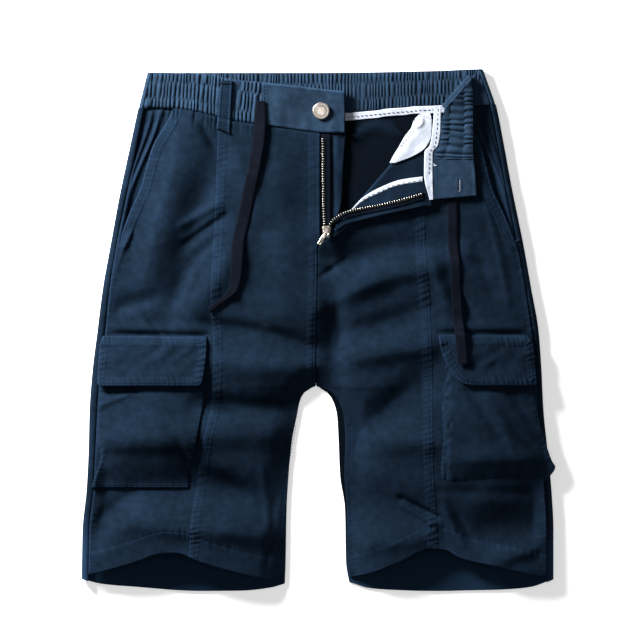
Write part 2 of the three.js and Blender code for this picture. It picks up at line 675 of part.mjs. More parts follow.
// Inside of the turned corner: facing, its zip tape, the white pocket bag and the white bindings
const bandOf = (rows, columns) => columns.map((column) => read(rows, 'a', column));
const [facingUpper, facingLower, chainLine, bindingUpper] = bandOf([
  { a: 346, upper: 218, lower: 224, chain: 214, binding: 213 },
  { a: 362, upper: 202, lower: 220, chain: 210, binding: 197 },
  { a: 376, upper: 195, lower: 216.5, chain: 207.5, binding: 189.5 },
  { a: 400, upper: 185.5, lower: 211.5, chain: 202, binding: 180 },
  { a: 424, upper: 182, lower: 206.5, chain: 195, binding: 176.5 },
], ['upper', 'lower', 'chain', 'binding']);
const liesAt = (height) => (a, d) => turnedTop(a, d) + height;
const facingTop = CLEAR + THIN;
add('fly_facing', lying(6, 3, (u, v) => {
  const a = mix(346, 423, u);
  return { a, d: mix(facingUpper(a), facingLower(a), v) };
}, liesAt(facingTop), THIN), twill);
add('zip_tape_left', lying(9, 2, (u, v) => {
  const a = mix(333, 423, u);
  const start = smooth(346, 333, a) * 5;
  return { a, d: chainLine(a) + start + mix(-3, 4, v) };
}, liesAt(facingTop + CLEAR + 0.9), 0.9), zipTape);
add('binding_facing', lying(7, 1, (u, v) => {
  const a = mix(347, 422.5, u);
  return { a, d: mix(bindingUpper(a), facingUpper(a) - 0.4, v) };
}, liesAt(facingTop), THIN), whiteCotton);

const [bagFrom, bagTo] = ['from', 'to'].map((column) => read([
  { d: 113, from: 421, to: 430 }, { d: 120, from: 414, to: 431.5 }, { d: 128, from: 411, to: 431.5 },
  { d: 136, from: 405, to: 431 }, { d: 148, from: 398, to: 425 }, { d: 156, from: 393, to: 413 },
  { d: 163, from: 389.5, to: 395 },
], 'd', column));
add('pocket_bag', lying(6, 8, (u, v) => {
  const d = mix(113, 163, v);
  return { a: mix(bagFrom(d), bagTo(d), u), d };
}, (a, d) => {
  const beyond = Math.max(0, FOLD_RADIUS - toFold(a, d).q);
  return turnedTop(a, d) + CLEAR + THIN - 0.012 * beyond * beyond;
}, THIN), whiteCotton);

const [tapeFrom, tapeTo] = ['from', 'to'].map((column) => read([
  { d: 106, from: 434.5, to: 441.2 }, { d: 130, from: 432.2, to: 440.6 }, { d: 145, from: 430, to: 438.4 },
  { d: 152, from: 424.5, to: 433.2 }, { d: 175, from: 424, to: 432.8 }, { d: 200, from: 429.5, to: 433.1 },
], 'd', column));
add('binding_side_waist', lying(1, 10, (u, v) => {
  const d = mix(106, 200, v);
  return { a: mix(tapeFrom(d), tapeTo(d), u), d };
}, liesAt(CLEAR + THIN), THIN), whiteCotton);
add('binding_back_waist', lying(16, 1, (u, v) => {
  const a = mix(170, 462, u);
  return { a, d: backSeam(a) + mix(0.3, 8, v) };
}, () => CLOTH + CLEAR + THIN, THIN), whiteCotton);

// Cargo pockets: a bag and a flap over it, each made from the points of the front, moved out
const CARGO = {
  right: {
    bag: [
      { d: 392, from: 99, to: 205.5 }, { d: 425, from: 97.5, to: 200 }, { d: 440, from: 97, to: 197 },
      { d: 455, from: 101, to: 194 }, { d: 470, from: 97, to: 188 }, { d: 488, from: 91, to: 189 },
    ],
    flap: [
      { d: 336, from: 102.5, to: 207 }, { d: 345, from: 100, to: 207 }, { d: 383, from: 97.5, to: 202.5 },
      { d: 386, from: 99, to: 201 },
    ],
  },
  left: {
    bag: [
      { d: 392, from: 441, to: 533 }, { d: 430, from: 441.5, to: 542 }, { d: 450, from: 441, to: 548 },
      { d: 461, from: 440.5, to: 552 }, { d: 467, from: 440.5, to: 555.5 }, { d: 478, from: 440, to: 549 },
      { d: 481, from: 442, to: 547 },
    ],
    flap: [
      { d: 335, from: 438.5, to: 528 }, { d: 345, from: 439.5, to: 533 }, { d: 365, from: 447, to: 535 },
      { d: 383, from: 462, to: 536.5 }, { d: 385.5, from: 472, to: 533 },
    ],
  },
};

function patch(rows, puff, rest, wall) {
  const [from, to] = ['from', 'to'].map((column) => read(rows, 'd', column));
  const first = rows[0].d;
  const last = rows[rows.length - 1].d;
  const height = (a, d) => {
    const u = (a - from(d)) / (to(d) - from(d));
    const v = (d - first) / (last - first);
    const swell = Math.max(0, Math.sin(Math.PI * u) * Math.sin(Math.PI * v)) ** 0.6;
    const within = THREE.MathUtils.clamp(a, outline.left(d) + SIDE_ROLL, outline.right(d) - SIDE_ROLL);
    return frontTop(within, d) + rest + wall + puff * swell;
  };
  return { from, to, first, last, height };
}

for (const [side, tables] of Object.entries(CARGO)) {
  const start = tables.flap[0].d + 8;
  const bag = patch(tables.bag, 2.6, PATCH_REST, CLOTH);
  const flap = patch(tables.flap, 1.2, PATCH_REST, CLOTH);
  const bagPlan = (u, v) => {
    const d = mix(start, bag.last, v);
    const hidden = smooth(392, 380, d) * 4;
    return { a: mix(bag.from(d) + hidden, bag.to(d) - hidden, u), d };
  };
  const flapPlan = (u, v) => {
    const d = mix(flap.first, flap.last, v);
    return { a: mix(flap.from(d), flap.to(d), u), d };
  };
  const covered = (a, d) => bag.height(a, d);
  add(`cargo_bag_${side}`, lying(10, 10, bagPlan, covered, CLOTH), twill);
  const flapTop = (a, d) => {
    const over = smooth(start - 7, start, d) * (CLOTH + CLEAR);
    const { from, to, first, last } = bag;
    const u = THREE.MathUtils.clamp((a - from(d)) / (to(d) - from(d)), 0, 1);
    const v = THREE.MathUtils.clamp((d - first) / (last - first), 0, 1);
    const swell = 2.6 * Math.max(0, Math.sin(Math.PI * u) * Math.sin(Math.PI * v)) ** 0.6;
    return flap.height(a, d) + over + swell;
  };
  add(`cargo_flap_${side}`, lying(10, 8, flapPlan, flapTop, CLOTH), twillLight);
}

// Button on the plain front waistband
{
  const spot = { a: 321, d: 111 };
  const profile = [
    [0, 0], [2.6, 0], [2.6, 1.2], [BUTTON_RADIUS - 0.6, 1.5], [BUTTON_RADIUS, 2.1], [BUTTON_RADIUS - 0.5, 3],
    [BUTTON_RADIUS - 2, 3.3], [BUTTON_RADIUS - 2.6, 2.9], [0, 3.2],
  ].map(([radius, z]) => new THREE.Vector2(radius, z));
  const button = add('button', new THREE.LatheGeometry(profile, 28), steel);
  button.position.copy(place({ ...spot, z: bandTop(spot.a, spot.d) + 0.5 }));
  button.rotation.x = Math.PI / 2;
}

// Zip slider, and its pull tab on a crossbar
const SLIDER = { a: 326.5, d: 232 };
const sliderLevel = turnedTop(333, 226) + 0.5;
{
  const outlineShape = new THREE.Shape();
  outlineShape.moveTo(-3, -6);
  outlineShape.lineTo(3, -6);
  outlineShape.lineTo(4.6, 4.5);
  outlineShape.lineTo(3.6, 6);
  outlineShape.lineTo(-3.6, 6);
  outlineShape.lineTo(-4.6, 4.5);
  outlineShape.closePath();
  const geometry = new THREE.ExtrudeGeometry(outlineShape, { depth: 3, bevelEnabled: false });
  const slider = add('zip_slider', geometry, steel);
  slider.position.copy(place({ ...SLIDER, z: sliderLevel }));
}
{
  const tab = new THREE.Shape();
  tab.moveTo(-1.6, 0);
  tab.lineTo(1.6, 0);
  tab.lineTo(2.6, -5);
  tab.lineTo(2.2, -14);
  tab.lineTo(-2.2, -14);
  tab.lineTo(-2.6, -5);
  const eye = new THREE.Path();
  eye.moveTo(-1.1, -10);
  eye.lineTo(-1.1, -12.5);
  eye.lineTo(1.1, -12.5);
  eye.lineTo(1.1, -10);
  tab.holes.push(eye);
  const geometry = new THREE.ExtrudeGeometry(tab, { depth: 1.2, bevelEnabled: false });
  const pull = add('zip_pull', geometry, steel);
  pull.position.copy(place({ a: 326, d: 233, z: sliderLevel + 3.35 }));
  pull.rotation.z = -Math.atan2(6, 10);
}

// Drawcords: flat tape ends that lie free on the fronts
const CORDS = {
  drawcord_right: [
    { a: 260.5, d: 101, wide: 10 }, { a: 260.3, d: 112, wide: 11 }, { a: 259.5, d: 130, wide: 12 },
    { a: 256, d: 158, wide: 12 }, { a: 250, d: 188, wide: 12 }, { a: 244.5, d: 215, wide: 12 },
    { a: 238, d: 245, wide: 12 }, { a: 236.5, d: 270, wide: 12 }, { a: 234, d: 288, wide: 9 },
    { a: 226, d: 297, wide: 6 }, { a: 216, d: 305, wide: 5 }, { a: 209, d: 310.5, wide: 5 },
  ],
  drawcord_left: [
    { a: 452, d: 186, wide: 10 }, { a: 452.3, d: 205, wide: 10 }, { a: 452.5, d: 235, wide: 10 },
    { a: 455, d: 265, wide: 10 }, { a: 456.5, d: 300, wide: 10 }, { a: 458, d: 322, wide: 10 },
    { a: 460.5, d: 342, wide: 10 }, { a: 462, d: 364, wide: 10 },
  ],
};
const flapHeights = {};
for (const [side, tables] of Object.entries(CARGO)) flapHeights[side] = patch(tables.flap, 1.2, CLEAR, CLOTH);

function under(name, a, d) {
  if (name === 'drawcord_right') {
    const onBand = smooth(waistSeam(a) + 18, waistSeam(a) + 6, d);
    return frontTop(a, d) + onBand * (BAND_RISE + 0.2);
  }
  return frontTop(a, d) + 7.6 * smooth(322, 336, d);
}

for (const [name, stations] of Object.entries(CORDS)) {
  const spine = new THREE.CatmullRomCurve3(stations.map(({ a, d, wide }) => new THREE.Vector3(a, d, wide)));
  const steps = 22;
  const rings = Array.from({ length: steps + 1 }, (_, i) => {
    const at = spine.getPointAt(i / steps);
    const ahead = spine.getTangentAt(i / steps);
    const length = Math.hypot(ahead.x, ahead.y);
    const across = { a: -ahead.y / length, d: ahead.x / length };
    const half = at.z / 2;
    const edgeLevel = [-1, 0, 1].map((s) => under(name, at.x + s * half * across.a, at.y + s * half * across.d));
    const base = Math.max(...edgeLevel) + CLEAR + 0.35;
    return [[-1, 0.3], [-0.6, 0], [0.6, 0], [1, 0.3], [1, 0.7], [0.6, 1], [-0.6, 1], [-1, 0.7]].map(([s, h]) => ({
      a: at.x + s * half * across.a, d: at.y + s * half * across.d, z: base + h * CORD_THICK,
    }));
  });
  add(name, loft(rings), cordTape);
}

export default shorts;
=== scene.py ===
"""Looks of the cargo shorts: cloth, stitching, cords and metal parts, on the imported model's frame.

Every table and route is in mm on the laying-out sheet, as in the solids: a runs right and d runs down.
Meshes are turned into metres in the part's own frame when they are made.
"""
from __future__ import annotations

import logging
from dataclasses import dataclass, field
from enum import Enum
from typing import Callable, Sequence

import bpy
import numpy as np
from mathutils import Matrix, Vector

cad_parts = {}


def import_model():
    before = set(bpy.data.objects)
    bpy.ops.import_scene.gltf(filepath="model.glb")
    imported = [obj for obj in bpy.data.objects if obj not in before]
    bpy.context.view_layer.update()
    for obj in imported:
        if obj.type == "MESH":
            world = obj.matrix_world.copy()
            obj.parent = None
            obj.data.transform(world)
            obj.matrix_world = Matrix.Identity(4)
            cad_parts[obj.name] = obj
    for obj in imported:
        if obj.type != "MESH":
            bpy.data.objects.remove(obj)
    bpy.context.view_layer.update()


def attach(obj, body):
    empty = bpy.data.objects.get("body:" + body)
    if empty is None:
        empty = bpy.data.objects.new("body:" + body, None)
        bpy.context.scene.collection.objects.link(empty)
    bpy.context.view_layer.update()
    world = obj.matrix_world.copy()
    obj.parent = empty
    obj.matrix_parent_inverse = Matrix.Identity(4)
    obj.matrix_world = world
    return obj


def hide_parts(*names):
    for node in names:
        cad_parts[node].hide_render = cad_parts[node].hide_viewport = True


Array = np.ndarray
Height = Callable[[Array, Array], Array]

log = logging.getLogger("cargo_shorts")

# Sheet and units
MM = 0.001
ORIGIN_A = 318.5
ORIGIN_D = 330.0

# Cloth and layers, as in the solids
CLOTH = 1.3
THIN = 0.9
BAND = 2.6
LAYER = 1.95
SIDE_ROLL = 4.5
HIP_CROWN = 9.0
LEG_CROWN = 11.0
HEM_CROWN = 15.0
EDGE_TOP = 3.65
NOSE_REACH = 24.0
FLY_SAG = 7.0
WAIST_SAG = 2.4
BAND_RISE = 0.7
FOLD_RADIUS = 2.9
BAND_FOLD_RADIUS = 4.3
FOLD_LIFT = 4.2
ROW_TOP = 109.0
ROW_END = 580.0
HEM_DEPTH = 22.0
FOLD_SCALE = 1.15

# Camera
LENS = 200.0
SENSOR = 36.0
CAMERA_HEIGHT = 3.568
CAMERA_X = 0.0015
CAMERA_Y = 0.010


def smooth(start: float, stop: float, x: Array) -> Array:
    """Rises from 0 at start to 1 at stop with level ends; start may be the greater."""
    t = np.clip((np.asarray(x, dtype=float) - start) / (stop - start), 0.0, 1.0)
    return t * t * (3.0 - 2.0 * t)


def mix(first: Array, second: Array, share: Array) -> Array:
    """Straight mix of two values."""
    return first + (second - first) * share


def bell(x: Array, wide: float) -> Array:
    """Height 1 at 0, falling off as a bell of the given half width."""
    return np.exp(-np.square(np.asarray(x) / wide))


def to_world(points: Array) -> Array:
    """Turns sheet points (a, d, z) in mm into metres in the part's frame."""
    world = np.empty_like(points, dtype=float)
    world[..., 0] = (points[..., 0] - ORIGIN_A) * MM
    world[..., 1] = (ORIGIN_D - points[..., 1]) * MM
    world[..., 2] = points[..., 2] * MM
    return world


class Table:
    """Named columns in mm that are read smoothly, without overshoot, at the first column."""

    def __init__(self, names: str, rows: Sequence[Sequence[float]]) -> None:
        """Args:
            names: Column names with spaces between; the first is the key.
            rows: Values in rising order of the key.
        """
        values = np.array(rows, dtype=float)
        self.key = values[:, 0]
        self.columns = {name: values[:, i] for i, name in enumerate(names.split()) if i}

    def read(self, column: str, at: Array) -> Array:
        """Value of a column at a key, level beyond the ends of the table."""
        x, y = self.key, self.columns[column]
        step = np.diff(x)
        rise = np.diff(y) / step
        slope = np.empty_like(y)
        slope[0], slope[-1] = rise[0], rise[-1]
        if len(y) > 2:
            one, two = rise[:-1], rise[1:]
            even = one * two > 0
            safe_one = np.where(even, one, 1.0)
            safe_two = np.where(even, two, 1.0)
            first, second = 2 * step[1:] + step[:-1], step[1:] + 2 * step[:-1]
            slope[1:-1] = np.where(even, (first + second) / (first / safe_one + second / safe_two), 0.0)
        at = np.clip(np.asarray(at, dtype=float), x[0], x[-1])
        i = np.clip(np.searchsorted(x, at, side="right") - 1, 0, len(x) - 2)
        t = (at - x[i]) / step[i]
        square, cube = t * t, t * t * t
        return (
            (2 * cube - 3 * square + 1) * y[i]
            + (cube - 2 * square + t) * step[i] * slope[i]
            + (3 * square - 2 * cube) * y[i + 1]
            + (cube - square) * step[i] * slope[i + 1]
        )

    def reader(self, column: str) -> Callable[[Array], Array]:
        """The column as a function of the key."""
        return lambda at: self.read(column, at)


class Noise:
    """Seeded smooth noise on a plane, from about -1 to 1, one cell to a unit."""

    SIZE = 64

    def __init__(self, seed: int) -> None:
        self.grid = np.random.default_rng(seed).uniform(-1.0, 1.0, (self.SIZE, self.SIZE))

    def at(self, x: Array, y: Array = 0.0) -> Array:
        """Noise at plane coordinates."""
        x, y = np.broadcast_arrays(np.asarray(x, dtype=float), np.asarray(y, dtype=float))
        i, j = np.floor(x).astype(int), np.floor(y).astype(int)
        u, v = x - i, y - j
        u, v = u * u * (3 - 2 * u), v * v * (3 - 2 * v)
        i0, j0 = i % self.SIZE, j % self.SIZE
        i1, j1 = (i + 1) % self.SIZE, (j + 1) % self.SIZE
        low = mix(self.grid[i0, j0], self.grid[i1, j0], u)
        high = mix(self.grid[i0, j1], self.grid[i1, j1], u)
        return mix(low, high, v)


class Track:
    """Smooth line over the sheet through given points, for seams, stitches and edges."""

    def __init__(self, *points: tuple[float, float]) -> None:
        knots = np.array(points, dtype=float)
        chord = np.concatenate(([0.0], np.cumsum(np.hypot(*np.diff(knots, axis=0).T))))
        table = Table("s a d", np.column_stack((chord, knots)))
        count = max(8, int(chord[-1] / 1.5))
        s = np.linspace(0.0, chord[-1], count)
        self.line = np.column_stack((table.read("a", s), table.read("d", s)))
        self.along = np.concatenate(([0.0], np.cumsum(np.hypot(*np.diff(self.line, axis=0).T))))
        self.length = float(self.along[-1])

    def place(self, along: Array, away: float = 0.0) -> tuple[Array, Array]:
        """Point at a length along the line and a distance away to its left-hand side."""
        a = np.interp(along, self.along, self.line[:, 0])
        d = np.interp(along, self.along, self.line[:, 1])
        ta, td = self.direction(along)
        return a + td * away, d - ta * away

    def direction(self, along: Array) -> tuple[Array, Array]:
        """Unit direction of travel at a length along the line."""
        reach = 1.5
        a0 = np.interp(along - reach, self.along, self.line[:, 0])
        a1 = np.interp(along + reach, self.along, self.line[:, 0])
        d0 = np.interp(along - reach, self.along, self.line[:, 1])
        d1 = np.interp(along + reach, self.along, self.line[:, 1])
        size = np.maximum(np.hypot(a1 - a0, d1 - d0), 1e-9)
        return (a1 - a0) / size, (d1 - d0) / size

    def locate(self, a: Array, d: Array, reach: float = 16.0) -> tuple[Array, Array]:
        """Length along the line and signed distance away of each point; far points read 999 away."""
        shape = a.shape
        a, d = a.ravel(), d.ravel()
        along = np.zeros(a.size)
        away = np.full(a.size, 999.0)
        low, high = self.line.min(axis=0) - reach, self.line.max(axis=0) + reach
        near = np.flatnonzero((a > low[0]) & (a < high[0]) & (d > low[1]) & (d < high[1]))
        start, span = self.line[:-1], np.diff(self.line, axis=0)
        square = np.maximum((span ** 2).sum(axis=1), 1e-9)
        for part in np.array_split(near, max(1, near.size // 6000)):
            pa = a[part, None] - start[:, 0]
            pd = d[part, None] - start[:, 1]
            t = np.clip((pa * span[:, 0] + pd * span[:, 1]) / square, 0.0, 1.0)
            off = np.hypot(pa - t * span[:, 0], pd - t * span[:, 1])
            best = off.argmin(axis=1)
            rows = np.arange(part.size)
            side = np.sign(span[best, 1] * pa[rows, best] - span[best, 0] * pd[rows, best])
            along[part] = self.along[best] + t[rows, best] * np.sqrt(square[best])
            away[part] = off[rows, best] * np.where(side == 0, 1.0, side)
        return along.reshape(shape), away.reshape(shape)


@dataclass(frozen=True)
class Fold:
    """Soft ridge, or trough where high is negative, along a bowed line in mm on the sheet.

    Attributes:
        line: Start a, start d, end a, end d.
        wide: Half width in mm.
        high: Height in mm.
        bow: How far the middle of the line stands to its left-hand side.
        lean: From -1 to 1, steeper on the left-hand side above 0.
    """

    line: tuple[float, float, float, float]
    wide: float
    high: float
    bow: float = 0.0
    lean: float = 0.0

    def height(self, a: Array, d: Array) -> Array:
        """Bell across the line, fading past its ends and slightly lower towards them."""
        a1, d1, a2, d2 = self.line
        length = float(np.hypot(a2 - a1, d2 - d1))
        ta, td = (a2 - a1) / length, (d2 - d1) / length
        along = (a - a1) * ta + (d - d1) * td
        t = np.clip(along / length, 0.0, 1.0)
        away = td * (a - a1) - ta * (d - d1) - self.bow * (1 - (2 * t - 1) ** 2)
        past = along - t * length
        wide = self.wide * np.where(away > 0, 1 - 0.5 * self.lean, 1 + 0.5 * self.lean)
        body = np.exp(-np.square(away / wide) - np.square(past / (1.3 * self.wide)))
        return self.high * body * (1 - 0.35 * (2 * t - 1) ** 2)


@dataclass(frozen=True)
class Seam:
    """Sewn line with stitch rows, doubled cloth on one side and the small puckers of washing.

    Attributes:
        track: Line of the seam or edge.
        rows: Stitch rows as distances from the line, to its left-hand side.
        doubled: Width of the doubled cloth, signed to its side; 0 for none.
        lift: How much the doubled cloth stands up, in mm.
        pucker: Height of the puckers in mm.
        period: Mean distance between puckers in mm.
        slant: How far puckers lean along the line per mm away from it.
        seed: Seed of this line's own unevenness.
        spread: How far the puckers reach; from the doubled cloth where 0.
    """

    track: Track
    rows: tuple[float, ...] = ()
    doubled: float = 0.0
    lift: float = 0.45
    pucker: float = 0.55
    period: float = 5.2
    slant: float = 0.25
    seed: int = 1
    spread: float = 0.0

    def relief(self, a: Array, d: Array) -> tuple[Array, Array]:
        """Height in mm and wear from 0 to 1 that the seam adds at each point.

        The puckers are a sine of uneven phase, strongest between the stitch rows. Each row sinks a
        narrow groove, and wear is highest on the crests of the puckers and the doubled edge.
        """
        along, away = self.track.locate(a, d)
        noise = Noise(self.seed)
        phase = (along + self.slant * away) / self.period + 0.9 * noise.at(along / 19.0)
        strength = 0.55 + 0.45 * noise.at(along / 17.0, 7.5)
        wave = np.sin(2 * np.pi * phase) * strength
        middle = float(np.mean(self.rows)) if self.rows else 0.0
        spread = self.spread or max(4.5, abs(self.doubled) * 0.75 + 1.5)
        near = bell(away - middle, spread)
        height = self.pucker * wave * near
        wear_and_painted_light = 0.26 * np.clip(wave, 0.0, 1.0) * near
        if self.doubled:
            inside = away * np.sign(self.doubled)
            reach = abs(self.doubled)
            body = smooth(-0.2, 0.7, inside) * smooth(reach + 1.5, reach, inside)
            height = height + self.lift * body
            wear_and_painted_light = wear_and_painted_light + 0.6 * self.lift * bell(inside - 0.7, 0.9) + 0.05 * body
        for row in self.rows:
            height = height - 0.28 * bell(away - row, 0.75)
        return height, wear_and_painted_light


# Outline of the sides and the line of the outer seams
SIDES = Table("d left right seam_left seam_right", (
    (68, 148, 482, 154, 476),
    (108, 138, 496, 144, 490),
    (140, 131, 503, 138, 497),
    (196, 119, 514, 126, 508),
    (245, 110, 524, 116, 518),
    (290, 102, 532, 109, 526),
    (330, 97, 539, 105, 532),
    (370, 92, 542, 100, 536),
    (410, 89, 544, 97, 538),
    (450, 88, 548, 95, 541),
    (490, 86, 552, 93, 545),
    (530, 82, 554, 89, 547),
    (582, 81, 554, 88, 547),
))

# Middle seam and inner edges of the legs
INNER = Table("d left right front_right", (
    (100, 318.4, 318.5, 318.5),
    (250, 317.9, 318.0, 318.0),
    (340, 316.0, 316.1, 316.1),
    (386, 315.9, 316.1, 316.1),
    (388.5, 310, 321, 323),
    (391, 306, 325, 329),
    (395, 302.5, 329.5, 334),
    (402, 299.5, 333.5, 339),
    (415, 297, 337, 343.5),
    (440, 292, 338.5, 345.5),
    (475, 288.5, 340, 344.5),
    (510, 286.5, 345, 347),
    (560, 285.5, 346, 348),
    (584, 284.5, 350, 351),
))

# Long seams of the fronts
LONG_SEAM = Table("d left right", (
    (105, 218, 421),
    (200, 215, 425),
    (260, 212, 426),
    (300, 210, 430),
    (350, 213, 432),
    (400, 211, 433),
    (440, 203, 433),
    (480, 197, 434),
    (520, 191, 437),
    (584, 188, 438),
))

# Hem edges of the lifted fronts and of the backs
HEM_LEFT = Table("a front back", (
    (80, 577, 579),
    (100, 572, 584.5),
    (140, 560, 588),
    (158, 553.5, 589.5),
    (176, 552.5, 591),
    (200, 561, 591.8),
    (240, 573, 591.5),
    (270, 580, 588.5),
    (286, 583, 584),
))
HEM_RIGHT = Table("a front back", (
    (350, 578, 583),
    (370, 573, 589),
    (400, 561, 591),
    (430, 548.5, 591.8),
    (446, 550, 591.8),
    (458, 557, 591.5),
    (500, 567, 590.5),
    (530, 574, 588),
    (556, 578, 579),
))

# Waistband edges: front, inside of the back, and the right-hand side
WAIST = Table("a top seam", (
    (137, 72, 107.5),
    (175, 72.3, 108),
    (200, 73, 112),
    (232, 79, 120),
    (262, 82.2, 124.5),
    (300, 86, 130),
    (320, 88.4, 132.5),
    (346, 91, 133),
))
BACK_WAIST = Table("a top seam", (
    (137, 72, 108),
    (318.5, 72, 113),
    (440, 70, 104.5),
    (478, 68.5, 104),
    (500, 74, 104),
))
SIDE_WAIST = Table("a top seam", (
    (428, 72, 126),
    (440, 71, 120),
    (470, 69.5, 107),
    (484, 70, 104),
    (500, 74, 104),
))
POCKET_MOUTH = Table("d inset", (
    (105, 36),
    (119, 33),
    (149, 22.5),
    (185, 20),
    (215, 13),
    (238, 8.5),
))

# Turned corner: free edge of the cloth from the fold line, and the sides of its waistband
TURNED_EDGE = Table("p reach", (
    (0, 3.6),
    (24, 8),
    (54, 27),
    (84, 48),
    (97, 56.5),
    (102.5, 53.4),
    (131, 28.8),
    (138, 24),
    (145, 23.2),
    (159, 14.6),
    (172, 3.7),
))
TURNED_BAND = Table("d top seam", (
    (70, 473, 442),
    (130, 473, 441),
    (146, 473, 439),
    (152, 473, 434.5),
    (160, 474, 433.5),
    (198, 477, 433.5),
))
FACING = Table("a upper lower chain binding", (
    (346, 218, 224, 214, 213),
    (362, 202, 220, 210, 197),
    (376, 195, 216.5, 207.5, 189.5),
    (400, 185.5, 211.5, 202, 180),
    (424, 182, 206.5, 195, 176.5),
))
BAG_CORNER = Table("d start stop", (
    (113, 421, 430),
    (120, 414, 431.5),
    (128, 411, 431.5),
    (136, 405, 431),
    (148, 398, 425),
    (156, 393, 413),
    (163, 389.5, 395),
))
SIDE_TAPE = Table("d start stop", (
    (106, 434.5, 441.2),
    (130, 432.2, 440.6),
    (145, 430, 438.4),
    (152, 424.5, 433.2),
    (175, 424, 432.8),
    (200, 429.5, 433.1),
))
FLY_SPREAD = Table("d stop", (
    (133, 346),
    (160, 344),
    (200, 342),
    (222, 336),
))

# Hollow of the front just below the turned corner
CORNER_TROUGH = Fold((334, 262, 442, 246), 15, -7.8, bow=2, lean=-0.3)

# Folds of the laid fronts, as far as the photograph shows them
FOLDS = (
    CORNER_TROUGH,
    Fold((184, 126, 152, 262), 20, 7.2, bow=2, lean=-0.6),
    Fold((218, 162, 168, 316), 15, -4.2, bow=-6, lean=0.3),
    Fold((224, 216, 186, 243), 5, -3.2, lean=-0.6),
    Fold((217, 205, 184, 224), 4.5, 2.4),
    Fold((214, 240, 178, 298), 7, -3.4, bow=-5, lean=0.6),
    Fold((238, 246, 200, 306), 13, 4.6),
    Fold((130, 234, 108, 302), 3.4, 2.8, bow=-3, lean=0.4),
    Fold((120, 308, 150, 300), 8, -4.2, lean=-0.4),
    Fold((141, 308, 160, 333), 2.4, -2.2),
    Fold((110, 328, 204, 329.5), 4.2, 1.6, lean=-0.5),
    Fold((103, 333.6, 206, 335.6), 2.0, -1.8),
    Fold((212, 326, 308, 346), 11, -5.6, bow=4, lean=0.5),
    Fold((212, 362, 306, 368), 13, 5.4, bow=-2, lean=0.3),
    Fold((202, 404, 300, 410), 12, -6.0, lean=0.3),
    Fold((96, 438, 274, 434), 15, 4.6, lean=-0.3),
    Fold((92, 486, 262, 493), 21, -8.6, bow=3, lean=0.2),
    Fold((196, 468, 268, 508), 12, -4.6, lean=0.3),
    Fold((110, 522, 282, 536), 13, 4.4, lean=-0.3),
    Fold((84, 534, 124, 502), 13, -7.4, lean=0.3),
    Fold((276, 500, 266, 578), 4, -1.3, lean=0.5),
    Fold((262, 470, 274, 560), 4, 1.1),
    Fold((320, 262, 346, 270), 5, 2.2),
    Fold((322, 276, 346, 260), 3.5, -2.4),
    Fold((328, 304, 426, 268), 14, 6.0, bow=5, lean=-0.5),
    Fold((346, 334, 426, 310), 15, -4.4, lean=0.5),
    Fold((350, 358, 424, 346), 12, 5.4, lean=-0.2),
    Fold((428, 378, 350, 442), 19, -7.2, lean=-0.3),
    Fold((374, 441, 436, 442), 14, 6.0),
    Fold((352, 404, 358, 480), 7, -3.0),
    Fold((352, 494, 432, 516), 24, -8.6, bow=-3, lean=0.3),
    Fold((402, 498, 437, 516), 3.2, -3.0, lean=0.6),
    Fold((404, 506, 434, 524), 4.0, 2.6),
    Fold((350, 546, 424, 536), 14, 5.0, lean=-0.3),
    Fold((334, 300, 337, 388), 13, -9.0, lean=0.3),
    Fold((474, 166, 508, 304), 4, 1.3, bow=3, lean=-0.5),
    Fold((466, 212, 494, 304), 7, -0.9),
    Fold((498, 160, 522, 292), 4, 0.7),
    Fold((486, 120, 500, 200), 5, -1.2),
    Fold((434, 262, 446, 302), 8, 3.4, lean=-0.4),
    Fold((446, 284, 474, 318), 8, -2.6, lean=0.4),
    Fold((470, 262, 486, 268), 6, -2.0),
    Fold((446, 327, 528, 328), 4.2, 1.5, lean=-0.5),
    Fold((439, 332.6, 530, 334), 2.0, -1.7),
    Fold((442, 491, 548, 494), 6, -1.4),
    Fold((452, 540, 552, 517), 31, -10.2, lean=0.2),
    Fold((444, 508, 462, 544), 4, 2.0, lean=-0.4),
    Fold((452, 504, 472, 540), 5, -1.8, lean=0.4),
    Fold((498, 560, 552, 542), 9, 4.2, lean=-0.3),
    Fold((234, 150, 258, 212), 9, 2.0),
    Fold((280, 160, 286, 310), 17, 2.6),
    Fold((238, 300, 262, 322), 5, -1.8),
    Fold((182, 112, 206, 140), 5, 1.8),
    Fold((198, 116, 216, 152), 4, -1.8, lean=0.4),
)


class FoldLine:
    """Frame of the turned corner: p runs along the fold, q away from it to the lower right."""

    START = np.array((325.0, 240.0))
    END = np.array((470.0, 72.0))

    def __init__(self) -> None:
        span = self.END - self.START
        self.length = float(np.hypot(*span))
        self.e = span / self.length
        self.n = np.array((-self.e[1], self.e[0]))

    def into(self, a: Array, d: Array) -> tuple[Array, Array]:
        """Fold coordinates of sheet points."""
        da, dd = a - self.START[0], d - self.START[1]
        return da * self.e[0] + dd * self.e[1], da * self.n[0] + dd * self.n[1]

    def out(self, p: Array, q: Array) -> tuple[Array, Array]:
        """Sheet points of fold coordinates."""
        a = self.START[0] + p * self.e[0] + q * self.n[0]
        d = self.START[1] + p * self.e[1] + q * self.n[1]
        return a, d

    def side(self, d: Array) -> Array:
        """Place of the fold's outer line at a level."""
        return self.START[0] + (d - self.START[1]) * (self.e[0] / self.e[1]) + FOLD_RADIUS / self.n[0]


